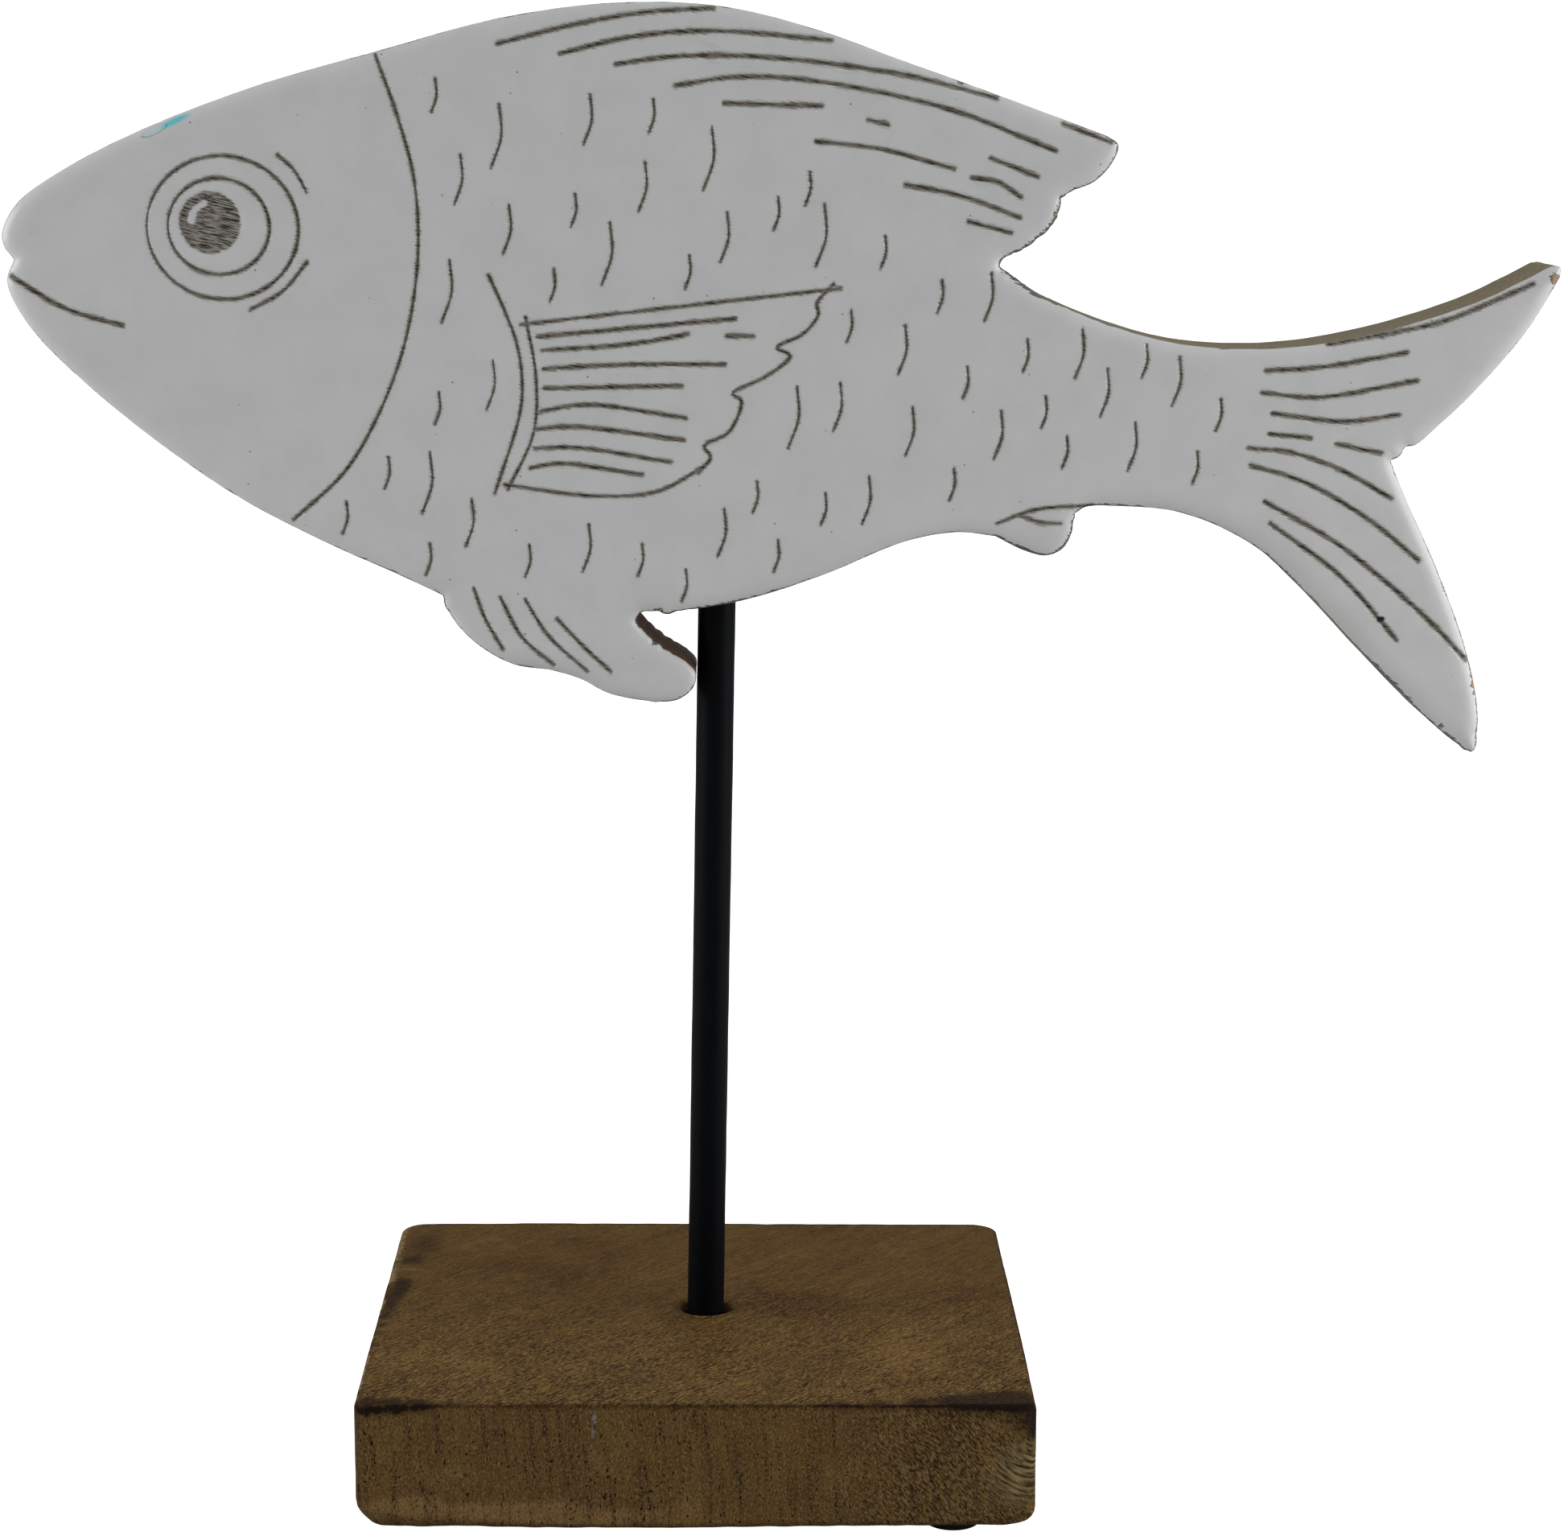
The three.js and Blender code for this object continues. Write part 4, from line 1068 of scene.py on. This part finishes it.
def fish_skin():
    """The two faces joined by the sawn side, which has a round hole for the rod in the belly."""
    front = fish_face(True)
    back = fish_face(False)
    count = len(outline)
    level = (ARRIS_DEEP - HALF) * np.cos(np.linspace(0, math.pi, WALL_ROWS + 2))[1:-1]
    inwards = sides_of(outline, closed=True)
    wall = np.empty((WALL_ROWS, count, 3))
    wall[..., 0], wall[..., 2], wall[..., 1] = outline[:, 0], outline[:, 1], level[:, None]
    torn = np.clip(0.05 + 0.05 * ripple(wall * [1, 0.25, 1], 1.1, 36), 0, 0.2)
    torn *= (0.6 + 1.6 * ragged_at(outline)) * np.sin(np.linspace(0, math.pi, WALL_ROWS + 2))[1:-1, None]
    wall[..., 0] += inwards[:, 0] * torn
    wall[..., 2] += inwards[:, 1] * torn

    start_back = len(front[0])
    start_wall = start_back + len(back[0])
    number = np.arange(WALL_ROWS * count).reshape(WALL_ROWS, count) + start_wall
    number = np.concatenate([[front[4]], number, [back[4] + start_back]])
    every_row = np.concatenate([[(ARRIS_DEEP - HALF)], level, [HALF - ARRIS_DEEP]])

    under = np.abs(outline[:, 0] - rod_axis(BELLY_HEIGHT)[0]) < HOLE_RADIUS + HOLE_MARGIN[0]
    under &= (outline[:, 1] > BELLY_SPAN[0]) & (outline[:, 1] < BELLY_SPAN[1])
    columns = np.flatnonzero(under)
    rows = np.flatnonzero(np.abs(every_row) < HOLE_RADIUS + HOLE_MARGIN[1])
    low_row, high_row, first, last = rows[0], rows[-1], columns[0], columns[-1]
    keep = np.ones((WALL_ROWS + 1, count), bool)
    keep[low_row:high_row, first:last] = False
    quads = np.stack([
        number[:-1], np.roll(number, -1, 1)[:-1], np.roll(number, -1, 1)[1:], number[1:],
    ], -1)[keep]
    side = np.concatenate([quads[:, [0, 1, 2]], quads[:, [0, 2, 3]]])

    border = np.concatenate([
        number[low_row, first:last], number[low_row:high_row, last],
        number[high_row, last:first:-1], number[high_row:low_row:-1, first],
    ])
    points = np.concatenate([front[0], back[0], wall.reshape(-1, 3)])
    mouth = rod_axis(BELLY_HEIGHT) + HOLE_RADIUS * spokes(HOLE_SIDES)
    along = columns[np.argsort(outline[columns, 0])]
    mouth[:, 2] = np.interp(mouth[:, 0], outline[along, 0], outline[along, 1])
    flat = np.concatenate([points[border][:, :2], mouth[:, :2]])
    loops = [list(range(len(border))), list(range(len(border), len(flat)))]
    made = delaunay_2d_cdt([Vector(p) for p in flat], [], loops, 1, 1e-5)
    origin = np.array([o[0] for o in made[3]])
    patch = origin[np.array(made[2])]
    patch = patch[patch.min(axis=1) < len(border)]
    patch = np.concatenate([border, np.arange(HOLE_SIDES) + len(points)])[patch]

    ceiling = rod_axis(np.array(HOLE_TOP)) + HOLE_RADIUS * spokes(HOLE_SIDES)
    tube = [mouth + (ceiling - mouth) * share for share in TUBE_SHARES]
    rings = np.arange(len(tube) * HOLE_SIDES).reshape(len(tube), HOLE_SIDES) + len(points)
    points = np.concatenate([points, *tube, ceiling.mean(axis=0)[None]])
    cap = np.stack([np.full(HOLE_SIDES, len(points) - 1), rings[-1], np.roll(rings[-1], -1)], -1)
    parts_of = [front[1], back[1] + start_back, side, patch, ring_triangles(rings[:-1], rings[1:]), cap]
    return points, parts_of, front, back, level, count


def oriented(points, parts, outward):
    """Each part's triangles turned so that they face the way its rule says is outwards."""
    turned = []
    for part, way in zip(parts, outward):
        a, b, c = (points[part[:, k]] for k in range(3))
        normal = np.cross(b - a, c - a)
        wrong = (normal * way((a + b + c) / 3)).sum(axis=1) < 0
        turned.append(np.where(wrong[:, None], part[:, ::-1], part))
    return np.concatenate(turned)


def from_solid(centres):
    """Outwards on the sawn side: away from the wood, taken from the nearest stretch of the outline."""
    out = outline_normal(centres[:, [0, 2]])
    return np.stack([out[:, 0], 0 * out[:, 0], out[:, 1]], axis=1)


fish_points, fish_parts, fish_front, fish_back, wall_level, around_fish = fish_skin()
hole_middle = rod_axis(BELLY_HEIGHT)
fish_triangles = oriented(fish_points, fish_parts, [
    lambda at: [0, -1, 0], lambda at: [0, 1, 0], from_solid, lambda at: [0, 0, -1],
    lambda at: (hole_middle - at) * [1, 1, 0], lambda at: [0, 0, -1],
])

# Where bare wood shows through the enamel at the edge, as [x, z, reach].
CHIPS = np.array([
    [118.3, 192, 0.9], [41.9, 202.8, 0.6], [41.5, 201.3, 0.7], [-20.2, 134.7, 0.7], [-19.6, 139.6, 0.8],
    [109.9, 118.6, 0.6], [109.9, 124.9, 0.5], [26.4, 221.3, 0.8], [44.4, 150.2, 0.6], [95.5, 163.9, 0.6],
    [103.9, 122, 0.6], [98.7, 126.3, 0.5], [-118.3, 193, 0.4], [108.9, 130.1, 0.9], [109.2, 128.7, 0.95],
    [109.5, 127.3, 0.8], [110.4, 122.9, 0.8], [110.4, 121.5, 0.95], [110.3, 120.1, 0.9],
])
CHIP_FALL = 0.4
# Where the burnt line along the enamel's edge is stronger or, below 0, fainter, as [x, z, reach, strength].
BURNS = np.array([
    [40, 199, 7, 0.8], [35, 191.5, 6, 0.7], [50.5, 209.5, 5, 0.5], [44.5, 151, 6, 0.7],
    [108, 132, 14, 0.4], [109, 120, 5, 0.5], [-17.5, 139.5, 4, 0.5], [96.6, 129.3, 3, 0.2],
    [-12, 140.5, 4, 0.4], [-53, 141, 3, 0.4], [96, 164, 4, 0.6], [90, 184, 26, -0.5],
    [-100, 211, 22, -0.15], [-119, 196, 6, 0.1], [118.8, 190.5, 2.5, 0.7],
    [40, 148.6, 5, 0.5], [36, 150.5, 3, 0.4], [36.5, 190, 4, 0.5], [42.5, 187.3, 4, 0.4],
    [-117.5, 193, 3, 0.4],
])


FAR_FROM_STROKES = 9.0
DEEP_IN_HOLE = -6.0


def fish_marks():
    """rim: how far a point is in from the enamel's edge, less than 0 on the sawn side. line: the groove
    field. burn: how dark the line at the enamel's edge is, burnt in places and darker wherever the edge
    faces down. chip: 1 in the middle of a chip, 0 at its edge."""
    places = fish_points[:, [0, 2]]
    far = np.full(len(fish_points) - len(fish_front[0]) - len(fish_back[0]), FAR_FROM_STROKES)
    side = -(HALF - ARRIS_DEEP - np.abs(np.repeat(wall_level, around_fish)))
    side = np.concatenate([side, np.full(len(far) - len(side), DEEP_IN_HOLE)])
    rim = np.concatenate([fish_front[2], fish_back[2], side])
    line = np.concatenate([fish_front[3], fish_back[3], far])
    downwards = -outline_normal(places)[:, 1]
    # The line is darker wherever the outline faces down, along the whole lower edge.
    burn = 0.38 + 0.18 * downwards + 0.2 * ripple(places, 16, 37) + 0.12 * ripple(places, 4, 38)
    burn += sum(b[3] * bump_of(np.linalg.norm(places - b[:2], axis=1), b[2]) for b in BURNS)
    depth = CHIP_FALL * (fish_points[:, 1] + HALF)
    chip = np.max([1 - np.hypot(depth, np.linalg.norm(places - c[:2], axis=1)) / c[2] for c in CHIPS], axis=0)
    return {"rim": rim, "line": line, "burn": np.clip(burn, 0, 1.3), "chip": np.clip(chip, -1, 1)}


fish = skin("fish_board", fish_points, fish_triangles, **fish_marks())

GRAIN_TURN = (0.0, math.radians(-13), 0.0)
# Each kind of fibre in the board, as its turn, sway, length, width and height.
GRAIN = (GRAIN_TURN, 3.5, 2.6, 0.5, 0.24)
HATCH = (GRAIN_TURN, 3.5, 2.0, 0.6, 0.13)
BROAD = (GRAIN_TURN, 3.5, 30.0, 3.0, 1.6)
# Single marks, each as its middle, turn and reach. Those at y -8 reach only into the front face.
FRONT_ONLY = 7.0
SMEAR_TURN = (0.0, math.radians(-25), 0.0)
SMEAR = ([-92.6, -8.0, 214.4], SMEAR_TURN, (2.6, FRONT_ONLY, 0.5))
SMEAR_LOOP = ([-95.7, -8.0, 213.0], SMEAR_TURN, (2.2, FRONT_ONLY, 0.62))
INK_DOT = ([93.6, -8.0, 139.0], (0.0, -0.3, 0.0), (0.75, FRONT_ONLY, 0.5))
NOTCH_CHAR = ([-18.0, 0.0, 134.8], LEVEL, (8.0, THROUGH, 7.0))
PUPIL_SPOT = ([PUPIL[0], 0.0, PUPIL[1]], LEVEL, (4.9, THROUGH, 4.9))


def white_enamel(tree, place):
    """The enamel: a soft mottle, dark specks, and on the front a blue smear with its paler loop."""
    white = mix(rise(cloud(place, 0.12, 3.0, 0.6), 0.3, 0.7), paint("d5d6d4"), paint("dbdbda"))
    flat = node(tree, "Mapping", {0: place, 2: (math.radians(90), 0, 0)})
    pit = node(tree, "TexVoronoi", {0: flat, 2: 0.1}, "Distance", feature="F1", voronoi_dimensions="2D")
    chosen = rise(node(tree, "SeparateColor", {0: pit.other("Color")}), 0.3, 1.0)
    white = tinted(white, rise(pit, 0.02, 0.008) * chosen * 0.8, "5a5650")

    white = tinted(white, rise(spot(place, *SMEAR), 1.3, 0.5) * 0.8, "2fd0dc")
    there = turned_place(place, *SMEAR_LOOP)
    loop = length(there)
    white = tinted(white, rise(loop, 1.0, 0.8) * 0.35, "b6dfe2")
    low_side = rise(parts(there)[2], 0.3, -0.3)
    return tinted(white, rise(abs(loop - 0.95), 0.16, 0.04) * (low_side * 0.45 + 0.15), "3f9aa3")


def burnt_lines(place, line, hatch, broad):
    """The colour inside the strokes: dark, with pale fibres across them, and finely etched in the pupil."""
    pale = rise(hatch - rise(line, -0.08, -0.45) * 0.14, 0.31, 0.45)
    burnt = mix(pale, paint("221d17"), paint("928c80"))
    etched = mix(rise(hatch, 0.44, 0.56), paint("211c17"), paint("b2ada2"))
    burnt = mix(rise(spot(place, *PUPIL_SPOT), 1.02, 0.98), burnt, etched)
    return mix(0.22, burnt, mix(rise(broad, 0.42, 0.6), paint("4a3327"), paint("474430")))


def sawn_wood(place, grain, broad, burn):
    """The raw side: khaki fibres, darker where burnt and where facing down, and charred red-brown in the
    notch.
    """
    khaki = mix(rise(grain, 0.3, 0.7), paint("6a6048"), paint("96896a"))
    khaki = tinted(khaki, rise(broad, 0.35, 0.7), "857757")
    khaki = tinted(khaki, rise(burn, 0.55, 1.15) * 0.75, "3a2a1b")
    char = mix(rise(grain, 0.35, 0.65), paint("2c1603"), paint("6b3f0a"))
    return mix(rise(spot(place, *NOTCH_CHAR), 1.15, 0.75), khaki, char)


def enamelled_wood():
    """White enamel, burnt strokes, raw sawn side and chips, told apart by the marks in the mesh. Their
    edges are frayed along the grain, because the wood tears that way under the enamel."""
    material, tree, surface = new_material("enamelled_wood", Specular_IOR_Level=0.5)
    place = millimetres(tree)
    grain, hatch, broad = (fibre(place, *kind) for kind in (GRAIN, HATCH, BROAD))
    fray = grain - 0.5
    line, rim, burn = (mark(tree, title) for title in ("line", "rim", "burn"))

    stroke = rise(line + fray * 0.5 + (hatch - 0.5) * 0.45, 0.05, -0.07)
    hair = rise(line + (hatch - 0.56) * 2.4, 0.03, -0.12) * rise(line, 0.45, 0.2)
    stroke = larger(stroke, hair * 0.36)
    cover = stroke * (rise(line, -0.08, -0.3) * 0.17 + 0.83)
    colour = mix(cover, white_enamel(tree, place), burnt_lines(place, line, hatch, broad))
    colour = tinted(colour, rise(spot(place, *INK_DOT), 1.15, 0.6), "14143c")

    bare = rise(rim + fray * 0.5, 0.02, -0.12)
    colour = mix(bare, colour, sawn_wood(place, grain, broad, burn))
    seam = rise(abs(rim) - burn * (fray * 1.2 + 0.42), 0.0, -0.1)
    colour = tinted(colour, seam * 0.85, "33291f")
    chip = mark(tree, "chip") + (cloud(place, 1.3, 3.0) - 0.5) * 1.6
    open_chip = rise(chip, 0.2, 0.34)
    colour = tinted(colour, rise(chip, 0.02, 0.2), "4d4032")
    colour = tinted(colour, open_chip, "a98d69")

    wood = larger(larger(stroke, bare), open_chip)
    height = cloud(place, 0.5, 2.0, 0.5) * 0.12 + grain * wood * 0.8
    feed(surface, colour, wood * 0.45 + 0.27, height, 0.5, 0.00015)
    return material


fish.data.materials.append(enamelled_wood())
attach(fish, "root")
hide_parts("fish")


# The table, light and camera
# A plain pale table top, soft light from all round that is weaker from the camera's side, and the
# camera where the photograph was taken.
TABLE_SIDES = 96
TABLE_RINGS = [[200, 0.02], [20000, 0.02], [20000, 5], [200, 5]]


def pale_table():
    """A large pale disc under the object, which gives off a little light so that it stays near white."""
    rings = [spokes(TABLE_SIDES) * radius - [0, 0, fall] for radius, fall in TABLE_RINGS]
    table = turned_skin("table_top", np.array(rings))
    material, tree, surface = new_material("pale_table", Base_Color=paint("cccccc"), Roughness=0.9)
    surface.inputs["Specular IOR Level"].default_value = 0.1
    surface.inputs["Emission Color"].default_value = WHITE
    seen = node(tree, "LightPath", give="Is Camera Ray")
    tree.links.new(seen.socket, surface.inputs["Emission Strength"])
    table.data.materials.append(material)


# The world's light, weakest to strongest, and how bright it looks behind the object.
CAMERA_SIDE_LIGHT = (0.095, 0.096, 0.099, 1.0)
FAR_SIDE_LIGHT = (0.35, 0.354, 0.36, 1.0)
SKY_LIGHT = (0.57, 0.577, 0.587, 1.0)
SEEN_BEHIND = (1.1, 1.1, 1.1, 1.0)


def soft_room():
    """Dim light from every side: weakest from the camera's side, stronger from behind and above."""
    world = bpy.data.worlds.new("soft_room")
    bpy.context.scene.world = world
    world.use_nodes = True
    tree = world.node_tree
    _, backwards, up = parts(node(tree, "TexCoord", give="Generated"))
    bright = mix(rise(backwards, -0.55, 0.25), CAMERA_SIDE_LIGHT, FAR_SIDE_LIGHT)
    bright = mix(rise(up, 0.3, 0.95), bright, SKY_LIGHT)
    bright = mix(node(tree, "LightPath", give="Is Camera Ray"), bright, SEEN_BEHIND)
    tree.links.new(bright.socket, tree.nodes["Background"].inputs[0])


def softbox(title, place, aim, wide, watts):
    """A square lamp of that width, facing a point."""
    lamp = bpy.data.lights.new(title, "AREA")
    lamp.size = wide * MM
    lamp.energy = watts
    made = bpy.data.objects.new(title, lamp)
    made.location = Vector(place) * MM
    made.rotation_euler = (Vector(aim) - Vector(place)).to_track_quat("-Z", "Y").to_euler()
    bpy.context.scene.collection.objects.link(made)


# Where the camera stands, how far it looks down and to the right, and how far it is rolled. The lens is
# given in pixels of a picture as wide as the photograph.
CAMERA_PLACE = [-9.46, -524.8, 220.06]
CAMERA_DOWN = math.radians(11.46)
CAMERA_RIGHT = math.radians(1.08)
CAMERA_ROLL = math.radians(-0.39)
LENS_IN_PIXELS = 4162
PICTURE_WIDE = 1949
SENSOR_WIDE = 36


def photograph_camera():
    """The camera solved from the photograph: its place, three turns, and the lens for its field of view."""
    camera = bpy.data.cameras.new("camera")
    camera.sensor_width = SENSOR_WIDE
    camera.lens = LENS_IN_PIXELS / PICTURE_WIDE * SENSOR_WIDE
    camera.clip_start = 0.01
    made = bpy.data.objects.new("camera", camera)
    turn = Matrix.Rotation(-CAMERA_RIGHT, 4, "Z") @ Matrix.Rotation(math.pi / 2 - CAMERA_DOWN, 4, "X")
    turn = turn @ Matrix.Rotation(-CAMERA_ROLL, 4, "Z")
    made.matrix_world = Matrix.Translation(Vector(CAMERA_PLACE) * MM) @ turn
    bpy.context.scene.collection.objects.link(made)
    bpy.context.scene.camera = made


pale_table()
soft_room()
softbox("right_window", place=[650, -160, 300], aim=[60, 0, 150], wide=600, watts=3.3)
softbox("left_window", place=[-700, -160, 280], aim=[-60, 0, 150], wide=450, watts=2.5)
photograph_camera()
bpy.context.scene.view_settings.view_transform = "Standard"
